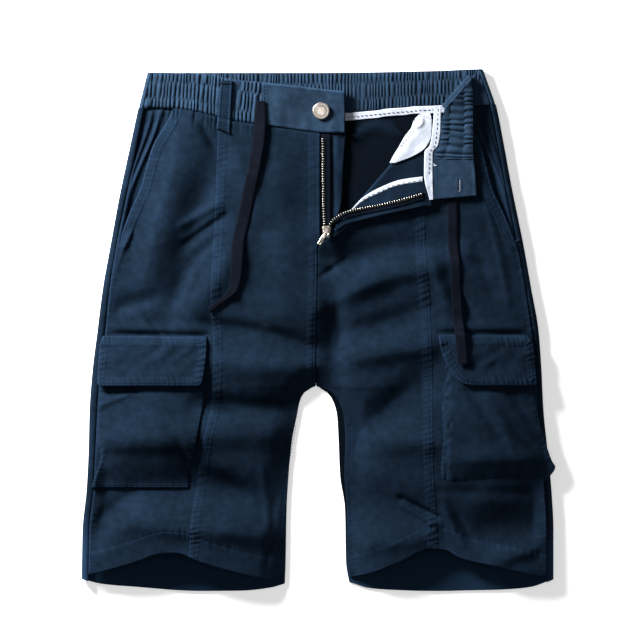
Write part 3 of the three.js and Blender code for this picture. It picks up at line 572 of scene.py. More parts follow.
class Lay:
    """Heights in mm of the laid garment's faces over the sheet."""

    EDGE_RISE = 2.6

    def __init__(self) -> None:
        self.fold = FoldLine()
        self.broad = Noise(11)
        self.fine = Noise(12)
        levels = INNER.key[3:]
        self.gap_left = np.column_stack((INNER.columns["left"][3:], levels))
        self.gap_right = np.column_stack((INNER.columns["front_right"][3:], levels))

    @staticmethod
    def _distance(a: Array, d: Array, line: Array) -> Array:
        """Distance to a line of straight pieces."""
        best = np.full(np.shape(a), 1e3)
        for (a1, d1), (a2, d2) in zip(line[:-1], line[1:]):
            da, dd = a2 - a1, d2 - d1
            t = np.clip(((a - a1) * da + (d - d1) * dd) / (da * da + dd * dd), 0.0, 1.0)
            best = np.minimum(best, np.hypot(a - a1 - t * da, d - d1 - t * dd))
        return best

    def front(self, a: Array, d: Array, rough: float = 1.0) -> Array:
        """Upper face of the fronts: crown, folds, the open fly's sag, the leg gap and the side rolls.

        Args:
            a: Places across the sheet.
            d: Places down the sheet.
            rough: Strength of the small unevenness of washed cotton.
        """
        a, d = np.broadcast_arrays(np.asarray(a, dtype=float), np.asarray(d, dtype=float))
        left, right = SIDES.read("left", d), SIDES.read("right", d)
        hip = 1 - np.minimum(1.0, np.abs((a - (left + right) / 2) / ((right - left) / 2))) ** 2.6
        inner_left, inner_right = INNER.read("left", d), INNER.read("front_right", d)
        is_left = a < (inner_left + INNER.read("right", d)) / 2
        start = np.where(is_left, left, inner_right)
        stop = np.where(is_left, inner_left, right)
        across = np.clip((a - start) / (stop - start), 0.0, 1.0)
        leg = 1 - np.abs(2 * across - 1) ** 2.6
        split = smooth(290, 388, d)
        hip_crown = mix(3.0, HIP_CROWN, smooth(100, 190, d))
        leg_crown = mix(LEG_CROWN, HEM_CROWN, smooth(430, 560, d))
        z = 2 * SIDE_ROLL + hip_crown * (1 - split) * hip + leg_crown * split * leg
        seam = np.minimum(a - SIDES.read("seam_left", d), SIDES.read("seam_right", d) - a)
        calm = smooth(0, 14, seam)
        under_band = smooth(104, 132, d)
        folds = sum(fold.height(a, d) for fold in FOLDS)
        waves = 0.7 * self.broad.at(a / 26.0, d / 26.0) + 0.22 * self.fine.at(a / 9.0, d / 9.0)
        near_seam = bell(d - WAIST.read("seam", a) - 3.0, 10.0) * smooth(268, 258, a)
        phase = a / 7.4 + 0.9 * self.fine.at(a / 12.0, 5.0) + 0.01 * (d - 110.0)
        tall = 1.5 + 0.9 * self.fine.at(a / 8.0, 8.0)
        waves = waves + tall * near_seam * (np.abs(np.sin(np.pi * phase)) ** 0.7 - 0.5)
        z = z + calm * (FOLD_SCALE * folds * under_band + rough * waves)
        z = z - 1.3 * bell(d - WAIST.read("seam", a) - 0.7, 1.3) * smooth(348, 344, a)
        p, q = self.fold.into(a, d)
        sag = mix(WAIST_SAG, FLY_SAG, smooth(118, 190, d))
        near = sag * smooth(240, 322, a) * smooth(262, 200, d) * (a < 400)
        far = sag * smooth(110, 10, q) * smooth(-15, 50, p)
        z = z - np.where(is_left | (q < 0), near, far)
        z = np.maximum(z, EDGE_TOP + 0.6)
        gap = np.minimum(self._distance(a, d, self.gap_left), self._distance(a, d, self.gap_right))
        z = EDGE_TOP + (z - EDGE_TOP) * np.sin(np.pi / 2 * np.minimum(1.0, gap / NOSE_REACH))
        over = np.clip(np.maximum(left + SIDE_ROLL - a, a - right + SIDE_ROLL), 0.0, SIDE_ROLL)
        return z - SIDE_ROLL + np.sqrt(SIDE_ROLL ** 2 - over ** 2)

    def band(self, a: Array, d: Array) -> Array:
        """Face of the waistband before its gathers."""
        return self.front(a, d, rough=0.3) + BAND_RISE

    def turned(self, a: Array, d: Array) -> Array:
        """Face of the cloth that is turned inside out, over the front that it lies on."""
        p, q = self.fold.into(np.asarray(a, dtype=float), np.asarray(d, dtype=float))
        inside = self.fold.out(p, np.maximum(q, FOLD_RADIUS))
        raised = self.EDGE_RISE * smooth(8, 34, q) * smooth(344, 372, a) * smooth(436, 414, a)
        return self.plain_under(*inside) + FOLD_LIFT + raised

    def turned_band(self, a: Array, d: Array) -> Array:
        """Face of the waistband on the turned corner."""
        p, q = self.fold.into(np.asarray(a, dtype=float), np.asarray(d, dtype=float))
        inside = self.fold.out(p, np.maximum(q, BAND_FOLD_RADIUS))
        return self.plain_under(*inside) + BAND_RISE + 2.5 + 3.0

    def plain_under(self, a: Array, d: Array) -> Array:
        """Front face without the trough in the shadow of the turned corner."""
        shade = FOLD_SCALE * CORNER_TROUGH.height(a, d)
        return self.front(a, d, rough=0.4) - shade


def edge_drop(away: Array, radius: float = 0.9) -> Array:
    """How much a rounded edge lies below its face, from the distance to the edge."""
    inside = np.clip(1 - away / radius, 0.0, 1.0)
    return radius * (1 - np.sqrt(np.maximum(0.0, 1 - inside ** 2)))


def spaced(length: float, coarse: float, fine: float, start: float = 0.0, stop: float = 0.0) -> Array:
    """Shares from 0 to 1 of a length, fine over the first start mm and the last stop mm."""
    marks = [0.0]
    while marks[-1] < length - 1e-6:
        at = marks[-1]
        inside = at < start or at > length - stop
        step = fine if inside else coarse
        if at < 0.9 or at > length - 1.3:
            step = min(step, 0.45)
        marks.append(min(at + step, length))
    return np.array(marks) / length


@dataclass
class Shell:
    """One layer of cloth: a grid of points on the face that shows and one on the hidden face.

    Attributes:
        face: Grid of (a, d, z) in mm.
        back: Grid of (a, d, z) in mm, of the same size.
        wear_and_painted_light: Wear from 0 to 1 over the grid, and on the backs painted light towards the hem and along
            the crease.
        uv: Grid of cloth coordinates in m; from the places on the sheet where none is given.
    """

    face: Array
    back: Array
    wear_and_painted_light: Array | None = None
    uv: Array | None = None

    @classmethod
    def lying(cls, a: Array, d: Array, z: Array, wall: float, wear_and_painted_light: Array | None = None) -> "Shell":
        """Layer with its wall measured straight down from the face."""
        face = np.stack((a, d, z), axis=-1)
        return cls(face, face - np.array((0.0, 0.0, wall)), wear_and_painted_light)


def grid_faces(rows: int, columns: int) -> Array:
    """Quads of a closed shell: the face grid, the back grid and the rim between them."""
    count = rows * columns
    index = np.arange(count).reshape(rows, columns)
    top_left, top_right = index[:-1, :-1], index[:-1, 1:]
    low_left, low_right = index[1:, :-1], index[1:, 1:]
    face = np.stack((top_left, low_left, low_right, top_right), axis=-1).reshape(-1, 4)
    back = face[:, ::-1] + count
    loop = np.concatenate((index[:, 0], index[-1, 1:], index[-2::-1, -1], index[0, -2:0:-1]))
    after = np.roll(loop, -1)
    rim = np.stack((after, loop, loop + count, after + count), axis=-1)
    return np.concatenate((face, back, rim))


def make_mesh(name: str, points: Array, quads: Array, uv: Array | None = None, wear_and_painted_light: Array | None = None,
              slots: Array | None = None) -> bpy.types.Object:
    """Makes a smooth object from world points and quads, with optional cloth coordinates, wear and painted light, and
    slots.
    """
    mesh = bpy.data.meshes.new(name)
    mesh.vertices.add(len(points))
    mesh.vertices.foreach_set("co", points.astype(np.float32).ravel())
    mesh.loops.add(quads.size)
    mesh.loops.foreach_set("vertex_index", quads.astype(np.int32).ravel())
    mesh.polygons.add(len(quads))
    mesh.polygons.foreach_set("loop_start", np.arange(0, quads.size, quads.shape[1], dtype=np.int32))
    mesh.update(calc_edges=True)
    mesh.polygons.foreach_set("use_smooth", np.ones(len(quads), dtype=bool))
    if uv is not None:
        layer = mesh.uv_layers.new(name="cloth")
        layer.data.foreach_set("uv", uv[quads.ravel()].astype(np.float32).ravel())
    if wear_and_painted_light is not None:
        attribute = mesh.attributes.new("wear_and_painted_light", "FLOAT", "POINT")
        attribute.data.foreach_set("value", np.clip(wear_and_painted_light, 0.0, 1.0).astype(np.float32))
    if slots is not None:
        mesh.polygons.foreach_set("material_index", slots.astype(np.int32))
    mesh.validate()
    item = bpy.data.objects.new(name, mesh)
    bpy.context.scene.collection.objects.link(item)
    return item


def signed_volume(points: Array, quads: Array) -> float:
    """Volume inside closed quads, below 0 where they face inwards."""
    corners = points[quads] - points.mean(axis=0)
    first = np.einsum("ij,ij->i", corners[:, 0], np.cross(corners[:, 1], corners[:, 2]))
    second = np.einsum("ij,ij->i", corners[:, 0], np.cross(corners[:, 2], corners[:, 3]))
    return float((first + second).sum() / 6)


def make_cloth(name: str, shells: Sequence[Shell]) -> bpy.types.Object:
    """Makes one cloth object from closed shells; the hidden faces take the second material slot."""
    points, quads, coords, wear_and_painted_light_parts, slots = [], [], [], [], []
    base = 0
    for shell in shells:
        rows, columns = shell.face.shape[:2]
        both = to_world(np.concatenate((shell.face.reshape(-1, 3), shell.back.reshape(-1, 3))))
        faces = grid_faces(rows, columns)
        if signed_volume(both, faces) < 0:
            faces = faces[:, ::-1]
        slot = np.zeros(len(faces))
        hidden = (rows - 1) * (columns - 1)
        slot[hidden:2 * hidden] = 1
        slots.append(slot)
        uv = shell.uv if shell.uv is not None else shell.face[..., :2] * MM
        wear_and_painted_light = shell.wear_and_painted_light if shell.wear_and_painted_light is not None else np.zeros((rows, columns))
        points.append(both)
        quads.append(faces + base)
        coords.append(np.tile(uv.reshape(-1, 2), (2, 1)))
        wear_and_painted_light_parts.append(np.tile(wear_and_painted_light.ravel(), 2))
        base += len(both)
    return make_mesh(name, np.concatenate(points), np.concatenate(quads), np.concatenate(coords),
                     np.concatenate(wear_and_painted_light_parts), np.concatenate(slots))


def linear(code: str) -> tuple[float, float, float, float]:
    """Linear colour of an sRGB hex code."""
    values = [int(code[i:i + 2], 16) / 255 for i in (1, 3, 5)]
    return (*(v / 12.92 if v <= 0.04045 else ((v + 0.055) / 1.055) ** 2.4 for v in values), 1.0)


class NodeTree:
    """Small helper that adds nodes with their settings and links."""

    def __init__(self, name: str) -> None:
        self.material = bpy.data.materials.new(name)
        self.material.use_nodes = True
        self.tree = self.material.node_tree
        self.shader = self.tree.nodes["Principled BSDF"]

    def add(self, kind: str, inputs: dict | None = None, **settings) -> bpy.types.Node:
        """Adds a node; inputs are values or sockets by name, settings are its properties."""
        node = self.tree.nodes.new(kind)
        for key, value in settings.items():
            setattr(node, key, value)
        for key, value in (inputs or {}).items():
            if isinstance(value, bpy.types.NodeSocket):
                self.tree.links.new(value, node.inputs[key])
            else:
                node.inputs[key].default_value = value
        return node

    def feed(self, socket: str, value) -> None:
        """Sets or links an input of the shader."""
        if isinstance(value, bpy.types.NodeSocket):
            self.tree.links.new(value, self.shader.inputs[socket])
        else:
            self.shader.inputs[socket].default_value = value

    def blend(self, factor, first, second) -> bpy.types.NodeSocket:
        """Mix of two colours."""
        node = self.add("ShaderNodeMix", data_type="RGBA")
        for index, value in ((0, factor), (6, first), (7, second)):
            if isinstance(value, bpy.types.NodeSocket):
                self.tree.links.new(value, node.inputs[index])
            else:
                node.inputs[index].default_value = value
        return node.outputs[2]

    def math(self, operation: str, first, second=0.0) -> bpy.types.NodeSocket:
        """One arithmetic step."""
        return self.add("ShaderNodeMath", {0: first, 1: second}, operation=operation).outputs[0]


@dataclass(frozen=True)
class ClothFinish:
    """Finish of a woven cloth.

    Attributes:
        name: Name of the real material.
        shade: Colour of the cloth in sRGB.
        faded_and_painted_light: Colour of its worn crests, and of the painted light that the wear attribute carries.
        weave: Distance between the weave's diagonal lines in mm.
        weave_depth: Depth of the weave in mm.
        crinkle: Depth of the small creases in mm.
        roughness: Shader roughness.
        sheen: Strength of the fibres' sheen.
        fade: Share of the worn colour where there is no wear.
        mottle: Strength of the uneven dye.
    """

    name: str
    shade: str
    faded_and_painted_light: str
    weave: float = 1.1
    weave_depth: float = 0.05
    crinkle: float = 0.2
    roughness: float = 0.88
    sheen: float = 0.03
    fade: float = 0.12
    mottle: float = 1.0

    def make(self) -> bpy.types.Material:
        """Builds the material.

        The weave is drawn a little coarser than the real 0.6 mm twill, which no view could resolve.
        Colour goes from the shade to the faded one with the wear and painted light, a broad cloud and the fine crinkle.
        """
        nodes = NodeTree(self.name)
        uv = nodes.add("ShaderNodeUVMap", uv_map="cloth").outputs["UV"]
        wave_scale = 0.314 / (self.weave * MM) / 2 ** 0.5 * 2
        weave = nodes.add("ShaderNodeTexWave", {
            "Vector": uv, "Scale": wave_scale, "Distortion": 0.6, "Detail": 2.0, "Detail Scale": 1.5,
        }, wave_type="BANDS", bands_direction="DIAGONAL").outputs["Fac"]
        slub = nodes.add("ShaderNodeTexNoise", {"Vector": uv, "Scale": 900.0, "Detail": 2.0}).outputs["Fac"]
        crinkle = nodes.add("ShaderNodeTexNoise", {
            "Vector": uv, "Scale": 130.0, "Detail": 4.0, "Roughness": 0.6,
        }).outputs["Fac"]
        cloud = nodes.add("ShaderNodeTexNoise", {"Vector": uv, "Scale": 26.0, "Detail": 3.0}).outputs["Fac"]
        # The attribute holds wear, and on the backs painted light towards the hem and along the crease.
        wear_and_painted_light = nodes.add("ShaderNodeAttribute", attribute_name="wear_and_painted_light").outputs["Fac"]
        broad = nodes.math("MULTIPLY", nodes.math("SUBTRACT", cloud, 0.5), 0.55 * self.mottle)
        small = nodes.math("MULTIPLY", nodes.math("SUBTRACT", crinkle, 0.5), 0.7 * self.mottle)
        thread = nodes.math("MULTIPLY", nodes.math("SUBTRACT", slub, 0.5), 0.35 * self.mottle)
        total = nodes.math("ADD", nodes.math("ADD", broad, small), nodes.math("ADD", thread, wear_and_painted_light))
        clamp = nodes.add("ShaderNodeClamp", {"Value": nodes.math("ADD", total, self.fade)}).outputs[0]
        colour = nodes.blend(clamp, linear(self.shade), linear(self.faded_and_painted_light))
        first = nodes.add("ShaderNodeBump", {
            "Strength": 1.0, "Distance": self.crinkle * MM, "Height": crinkle,
        }).outputs["Normal"]
        second = nodes.add("ShaderNodeBump", {
            "Strength": 1.0, "Distance": self.weave_depth * MM, "Height": weave, "Normal": first,
        }).outputs["Normal"]
        rough = nodes.math("ADD", nodes.math("MULTIPLY", slub, 0.1), self.roughness - 0.05)
        nodes.feed("Base Color", colour)
        nodes.feed("Roughness", rough)
        nodes.feed("Normal", second)
        nodes.feed("Sheen Weight", self.sheen)
        nodes.feed("Sheen Roughness", 0.45)
        nodes.feed("Sheen Tint", linear(self.faded_and_painted_light))
        nodes.feed("Specular IOR Level", 0.02)
        return nodes.material


@dataclass(frozen=True)
class MetalFinish:
    """Finish of a plated metal part."""

    name: str
    shade: str
    roughness: float = 0.3
    grain: float = 0.03

    def make(self) -> bpy.types.Material:
        """Builds the material: plated metal with a fine hammered grain and dull patches."""
        nodes = NodeTree(self.name)
        place = nodes.add("ShaderNodeTexCoord").outputs["Object"]
        patches = nodes.add("ShaderNodeTexNoise", {"Vector": place, "Scale": 420.0, "Detail": 3.0}).outputs["Fac"]
        grain = nodes.add("ShaderNodeTexNoise", {"Vector": place, "Scale": 1800.0, "Detail": 2.0}).outputs["Fac"]
        dull = nodes.blend(nodes.math("MULTIPLY", patches, 0.16), linear(self.shade), (0.2, 0.19, 0.18, 1.0))
        bump = nodes.add("ShaderNodeBump", {
            "Strength": 1.0, "Distance": self.grain * MM, "Height": grain,
        }).outputs["Normal"]
        nodes.feed("Base Color", dull)
        nodes.feed("Metallic", 1.0)
        nodes.feed("Roughness", nodes.math("ADD", nodes.math("MULTIPLY", patches, 0.2), self.roughness - 0.1))
        nodes.feed("Normal", bump)
        return nodes.material


class Finish(Enum):
    """Materials of the shorts, with the record's slot that each one belongs to."""

    TWILL = ("twill", ClothFinish("garment_dyed_twill", "#0b1621", "#1c2d42"))
    BAND = ("twill_band", ClothFinish("gathered_twill", "#182533", "#314861", crinkle=0.15))
    # The inside's faded colour is also the painted light given to the backs' insides towards the hem and along their
    # crease.
    INSIDE = ("twill_back", ClothFinish("twill_inside", "#050a11", "#182a3d", fade=-0.05, mottle=0.35))
    COTTON = ("white_cotton", ClothFinish("white_pocket_cotton", "#a6acb9", "#cbd0da", weave=0.9, crinkle=0.5))
    TAPE = ("zip_tape", ClothFinish("woven_zip_tape", "#070b12", "#0e1520", weave=1.4, crinkle=0.1))
    CORD = ("cord_tape", ClothFinish("drawcord_tape", "#080b12", "#171c29", weave=1.6, weave_depth=0.12, crinkle=0.3))
    THREAD = ("twill", ClothFinish("sewing_thread", "#16273a", "#2a4059", weave=0.6, crinkle=0.05))
    METAL = ("steel", MetalFinish("plated_metal", "#cdc2b8"))
    TEETH = ("steel", MetalFinish("zip_teeth_metal", "#b8b2a9", 0.35))
    DARK_THREAD = ("twill", ClothFinish("navy_thread", "#0f1721", "#1b2735", weave=0.6, crinkle=0.05))

    @property
    def slot(self) -> str:
        """Material slot in the record."""
        return self.value[0]

    @property
    def recipe(self) -> ClothFinish | MetalFinish:
        """Recipe of the material."""
        return self.value[1]


@dataclass
class Workshop:
    """Makes materials once and dresses finished pieces."""

    materials: dict[Finish, bpy.types.Material] = field(default_factory=dict)

    def finish(self, item: bpy.types.Object, finish: Finish, nodes: Sequence[str] = (),
               body: str = "shorts", lining: Finish | None = None) -> bpy.types.Object:
        """Gives a piece its materials, ties it to its body and hides the CAD nodes that it replaces."""
        for each in (finish, lining or finish):
            if each not in self.materials:
                self.materials[each] = each.recipe.make()
            item.data.materials.append(self.materials[each])
        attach(item, body)
        if nodes:
            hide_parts(*nodes)
        return item


@dataclass
class Stitching:
    """Collects stitches and makes them into one piece of thread a group."""

    SIDES = 5
    groups: dict[str, list[Array]] = field(default_factory=dict)

    def run(self, group: str, track: Track, away: float, surface: Height, start: float = 0.0,
            stop: float | None = None, pitch: float = 3.3, size: float = 2.5, thick: float = 0.28) -> None:
        """Adds a row of stitches along a track, sunk a little into the surface they hold."""
        stop = track.length if stop is None else min(stop, track.length)
        count = max(2, int((stop - start) / pitch))
        middle = np.linspace(start + pitch / 2, stop - pitch / 2, count)
        a, d = track.place(middle, away)
        ta, td = track.direction(middle)
        half = size / 2
        ends = []
        for sign in (-1.0, 1.0):
            ea, ed = a + sign * half * ta, d + sign * half * td
            ends.append(np.stack((ea, ed, surface(ea, ed) - 0.02), axis=-1))
        centre = np.stack((a, d, surface(a, d) + 0.18), axis=-1)
        self.groups.setdefault(group, []).append(np.stack((ends[0], centre, ends[1], np.full_like(centre, thick))))

    def make(self, workshop: Workshop, finishes: dict[str, Finish]) -> None:
        """Makes each group: every stitch is a bent capsule of a few faces."""
        turns = np.arange(self.SIDES) * 2 * np.pi / self.SIDES
        for group, runs in self.groups.items():
            first, centre, last, thick = np.concatenate(runs, axis=1)
            count = len(first)
            radius = thick[:, :1]
            along = last - first
            along /= np.linalg.norm(along, axis=1, keepdims=True)
            side = np.stack((-along[:, 1], along[:, 0], np.zeros(count)), axis=-1)
            up = np.cross(along, side)
            rings = []
            for share, swell in ((0.0, 0.25), (0.18, 0.9), (0.5, 1.0), (0.82, 0.9), (1.0, 0.25)):
                spot = (1 - share) ** 2 * first + 2 * share * (1 - share) * centre + share ** 2 * last
                circle = (
                    side[:, None, :] * np.cos(turns)[None, :, None]
                    + up[:, None, :] * np.sin(turns)[None, :, None]
                )
                rings.append(spot[:, None, :] + circle * (radius * swell)[:, None, :])
            points = np.stack(rings, axis=1).reshape(count, -1, 3)
            quads = []
            for ring in range(4):
                for i in range(self.SIDES):
                    j = (i + 1) % self.SIDES
                    low, high = ring * self.SIDES, (ring + 1) * self.SIDES
                    quads.append((low + i, low + j, high + j, high + i))
            pattern = np.array(quads)
            faces = (pattern[None] + (np.arange(count) * points.shape[1])[:, None, None]).reshape(-1, 4)
            flat = to_world(points.reshape(-1, 3))
            item = make_mesh(f"stitches_{group}", flat, faces, flat[:, :2], None)
            workshop.finish(item, finishes.get(group, Finish.THREAD))
            log.info("stitches %s: %d", group, count)


@dataclass
class Shorts:
    """Shared parts of the making: heights, materials, stitches and seams."""

    lay: Lay = field(default_factory=Lay)
    workshop: Workshop = field(default_factory=Workshop)
    stitching: Stitching = field(default_factory=Stitching)

    def with_seams(self, base: Height, seams: Sequence[Seam]) -> Callable[[Array, Array], tuple[Array, Array]]:
        """Height and wear of a face with the relief of its seams."""
        def face(a: Array, d: Array) -> tuple[Array, Array]:
            a, d = np.broadcast_arrays(np.asarray(a, dtype=float), np.asarray(d, dtype=float))
            z, wear_and_painted_light = base(a, d), np.zeros(a.shape)
            for seam in seams:
                height, worn_and_painted_light = seam.relief(a, d)
                z, wear_and_painted_light = z + height, wear_and_painted_light + worn_and_painted_light
            return z, wear_and_painted_light
        return face

    def sew(self, group: str, seam: Seam, surface: Height, start: float = 0.0, stop: float | None = None) -> None:
        """Adds the stitches of every row of a seam."""
        for row in seam.rows:
            self.stitching.run(group, seam.track, row, surface, start, stop)


def down_track(read: Callable[[Array], Array], start: float, stop: float, step: float = 14.0) -> Track:
    """Track down the sheet along a table's column."""
    d = np.linspace(start, stop, max(3, int((stop - start) / step)))
    return Track(*zip(read(d), d))


class Body:
    """Back and front panels, the hip pocket facings and their seams."""

    def __init__(self, shorts: Shorts) -> None:
        self.shorts = shorts
        self.lay = shorts.lay
        long_left, long_right = LONG_SEAM.reader("left"), LONG_SEAM.reader("right")
        self.long_left = Seam(down_track(long_left, 112, 556), (1.8, 7.2), 8.5, lift=0.42, pucker=0.5, seed=21)
        self.long_right = Seam(down_track(long_right, 196, 543), (-1.8, -7.2), -8.5, lift=0.5, pucker=0.6, seed=22)
        self.middle = Seam(Track((317.6, 252), (317, 300), (316, 340), (315.6, 384)), (-2.0, -6.5), -7.5,
                           pucker=0.35, seed=23)
        self.fly = Seam(Track((320, 134), (320, 200), (320, 236)), (-4.0, -8.0), -9.5, pucker=0.18,
                        period=7.0, seed=24)
        self.mouth_left = Seam(down_track(self._mouth("left"), 112, 240, 9), (2.2, 7.2), 9.0, lift=0.9,
                               pucker=0.4, seed=25)
        self.mouth_right = Seam(down_track(self._mouth("right"), 108, 240, 9), (-2.2, -7.2), -9.0, lift=0.9,
                                pucker=0.4, seed=26)
        hem_left = [(a, float(HEM_LEFT.read("front", a)) - HEM_DEPTH) for a in range(84, 286, 20)]
        hem_right = [(a, float(HEM_RIGHT.read("front", a)) - HEM_DEPTH) for a in range(351, 552, 20)]
        self.hem_left = Seam(Track(*hem_left), (-0.5,), -20.0, lift=0.18, pucker=0.4, period=7.5, seed=27,
                             spread=4.5)
        self.hem_right = Seam(Track(*hem_right), (-0.5,), -20.0, lift=0.18, pucker=0.4, period=7.5, seed=28,
                              spread=4.5)
        self.side_left = Seam(down_track(lambda d: SIDES.read("seam_left", d), 246, 570), (1.8,), 2.6,
                              pucker=0.35, seed=29)
        self.side_right = Seam(down_track(lambda d: SIDES.read("seam_right", d), 246, 570), (-1.8,), -2.6,
                               pucker=0.35, seed=30)
        self.inseam_left = Seam(Track((296, 425), (290, 458), (284, 500), (281, 540), (279.5, 574)), (0.0,),
                                pucker=0.2, seed=31)
        self.inseam_right = Seam(Track((351, 425), (351, 470), (352, 520), (355, 570)), (0.0,), pucker=0.2, seed=32)

    @staticmethod
    def _mouth(side: str) -> Callable[[Array], Array]:
        """Line of the slanted pocket mouth, or of the outer seam below it."""
        def line(d: Array) -> Array:
            inset = POCKET_MOUTH.read("inset", d)
            if side == "left":
                return np.maximum(SIDES.read("seam_left", d) + 0.3, np.where(d < 242, SIDES.read("left", d) + inset, 0))
            return np.minimum(SIDES.read("seam_right", d) - 0.3, np.where(d < 242, SIDES.read("right", d) - inset, 999))
        return line

    @staticmethod
    def _row(a: Array, d0: Array, top: Callable[[Array], Array], low: Callable[[Array], Array]) -> Array:
        """Level of a row that follows the waist seam at the top and the hem at the bottom."""
        share = (d0 - ROW_TOP) / (ROW_END - ROW_TOP)
        up = 1 - smooth(0, 0.16, share)
        down = smooth(0.84, 1, share)
        return d0 + (top(a) - ROW_TOP) * up + (low(a) - ROW_END) * down

    def _front(self, name: str, node: str, side: str, top: float, start: Callable, stop: Callable,
               seams: Sequence[Seam], extra: Sequence[Shell] = ()) -> None:
        """One front panel between two lines, from a level near the waist down to the hem."""
        d0 = mix(top, ROW_END, spaced(ROW_END - top, 1.7, 0.8, 3.0, 2.0))
        share = spaced(100.0, 1.7, 0.9, 11.0, 12.0)
        rows, shares = np.meshgrid(d0, share, indexing="ij")
        a = mix(start(rows), stop(rows), shares)
        waist = WAIST if side == "left" else SIDE_WAIST
        hem = HEM_LEFT if side == "left" else HEM_RIGHT
        d = self._row(a, rows, lambda x: waist.read("seam", x) + 0.3, hem.reader("front"))
        z, wear_and_painted_light = self.shorts.with_seams(self.lay.front, seams)(a, d)
        width = stop(rows) - start(rows)
        z = z - edge_drop(shares * width) - edge_drop((1 - shares) * width)
        below = hem.read("front", a) - d
        z = z - edge_drop(below, 1.1)
        wear_and_painted_light = wear_and_painted_light + 0.25 * bell(below - 0.6, 1.0)
        item = make_cloth(name, [Shell.lying(a, d, z, CLOTH, wear_and_painted_light), *extra])
        self.shorts.workshop.finish(item, Finish.TWILL, (node,), lining=Finish.INSIDE)

    def _back(self, side: str) -> None:
        """A back panel: flat on the surface and rolled up round the side to the outer seam."""
        sign = 1.0 if side == "left" else -1.0
        d0 = mix(ROW_TOP, ROW_END, spaced(ROW_END - ROW_TOP, 5.0, 1.5, 3.0, 3.0))
        turns = np.linspace(0.0, 1.0, 13)
        flat = spaced(215.0, 6.0, 2.0, 3.0, 6.0)[1:]
        rows = d0[:, None]
        centre = SIDES.read("left" if side == "left" else "right", rows) + sign * SIDE_ROLL
        seam = SIDES.read(f"seam_{side}", rows)
        end = INNER.read("left" if side == "left" else "right", rows)
        end = end + (0.3 * smooth(388, 384, rows) if side == "left" else 0.0)
        ripple = 0.5 * self.lay.fine.at(rows / 7.0, 3.0) * smooth(0, 0.4, 1 - turns)[None, :]
        grids = []
        for wall in (0.0, CLOTH):
            radius = SIDE_ROLL - wall
            start = np.stack((seam, np.full(centre.shape, 2 * SIDE_ROLL - wall)), -1)
            turn = np.pi * (1 - turns)[None, :]
            arc = np.stack(np.broadcast_arrays(centre - sign * radius * np.sin(turn),
                                               SIDE_ROLL - radius * np.cos(turn)), -1).copy()
            arc[..., 1] += ripple * (turn > 1.6)
            plane_a = mix(centre, end, flat[None, :])
            crease = np.zeros(plane_a.shape)
            if wall:
                crease = 0.5 * (self.lay.broad.at(plane_a / 15, rows / 15) + 1)
                crease = crease + 3.2 * bell(self._crease(plane_a, rows), 4.0)
            level = np.stack((plane_a, crease + wall), -1)
            grids.append(np.concatenate((start, arc, level), axis=1))
        hem = HEM_LEFT if side == "left" else HEM_RIGHT
        full = []
        for grid in grids:
            a = grid[..., 0]
            d = self._row(a, np.broadcast_to(rows, a.shape), lambda x: BACK_WAIST.read("seam", x) + 0.1, hem.reader("back"))
            full.append(np.stack((a, d, grid[..., 1]), -1))
        name = "back_right" if side == "left" else "back_left"
        # Painted light: the backs are made lighter towards the hem, standing in for light inside the shaded leg
        # openings, and lighter along the inner crease as a painted highlight.
        worn_and_painted_light = smooth(500, 575, full[1][..., 1]) + 0.3 * bell(self._crease(full[1][..., 0], full[1][..., 1]), 7.0)
        item = make_cloth(f"{name}_cloth", [Shell(full[0], full[1], worn_and_painted_light)])
        self.shorts.workshop.finish(item, Finish.TWILL, (name,), lining=Finish.INSIDE)

    @staticmethod
    def _crease(a: Array, d: Array) -> Array:
        """Distance from the soft crease on the inside of the back, seen through the open fly."""
        line = 134 - 9 * np.sin((a - 352) / 16)
        inside = smooth(350, 358, a) * smooth(404, 390, a)
        return np.where(inside > 0, (d - line) / np.maximum(inside, 0.05), 99.0)

    def _facing(self, side: str) -> None:
        """Cloth that shows in a slanted pocket mouth."""
        sign = 1.0 if side == "left" else -1.0
        d0 = mix(110.0, 247.0, spaced(137.0, 1.6, 0.8, 2.0, 2.0))
        share = spaced(32.0, 1.0, 0.6, 3.0, 2.0)
        rows, shares = np.meshgrid(d0, share, indexing="ij")
        start = SIDES.read(f"seam_{side}", rows) + sign * 0.3
        a = mix(start, self._mouth(side)(rows) + sign * 9, shares)
        waist = WAIST if side == "left" else SIDE_WAIST
        top = waist.read("seam", a) + 0.3
        d = rows + (top - rows) * smooth(118, 110, rows)
        ridge = 2.8 * bell((a - start) * sign - mix(17.0, 3.0, smooth(108, 200, d)), 2.2)
        second = 2.2 * bell((a - start) * sign - mix(9.0, 1.0, smooth(108, 180, d)), 1.8)
        strong = (1.0 if side == "left" else 0.45) * smooth(106, 112, d)
        z = self.lay.front(a, d) - LAYER - 0.6 - 0.8 * smooth(185, 140, d) + strong * (ridge + second)
        name = "pocket_facing_right" if side == "left" else "pocket_facing_left"
        item = make_cloth(f"{name}_cloth", [Shell.lying(a, d, z, THIN, 0.1 * ridge)])
        self.shorts.workshop.finish(item, Finish.TWILL, (name,))

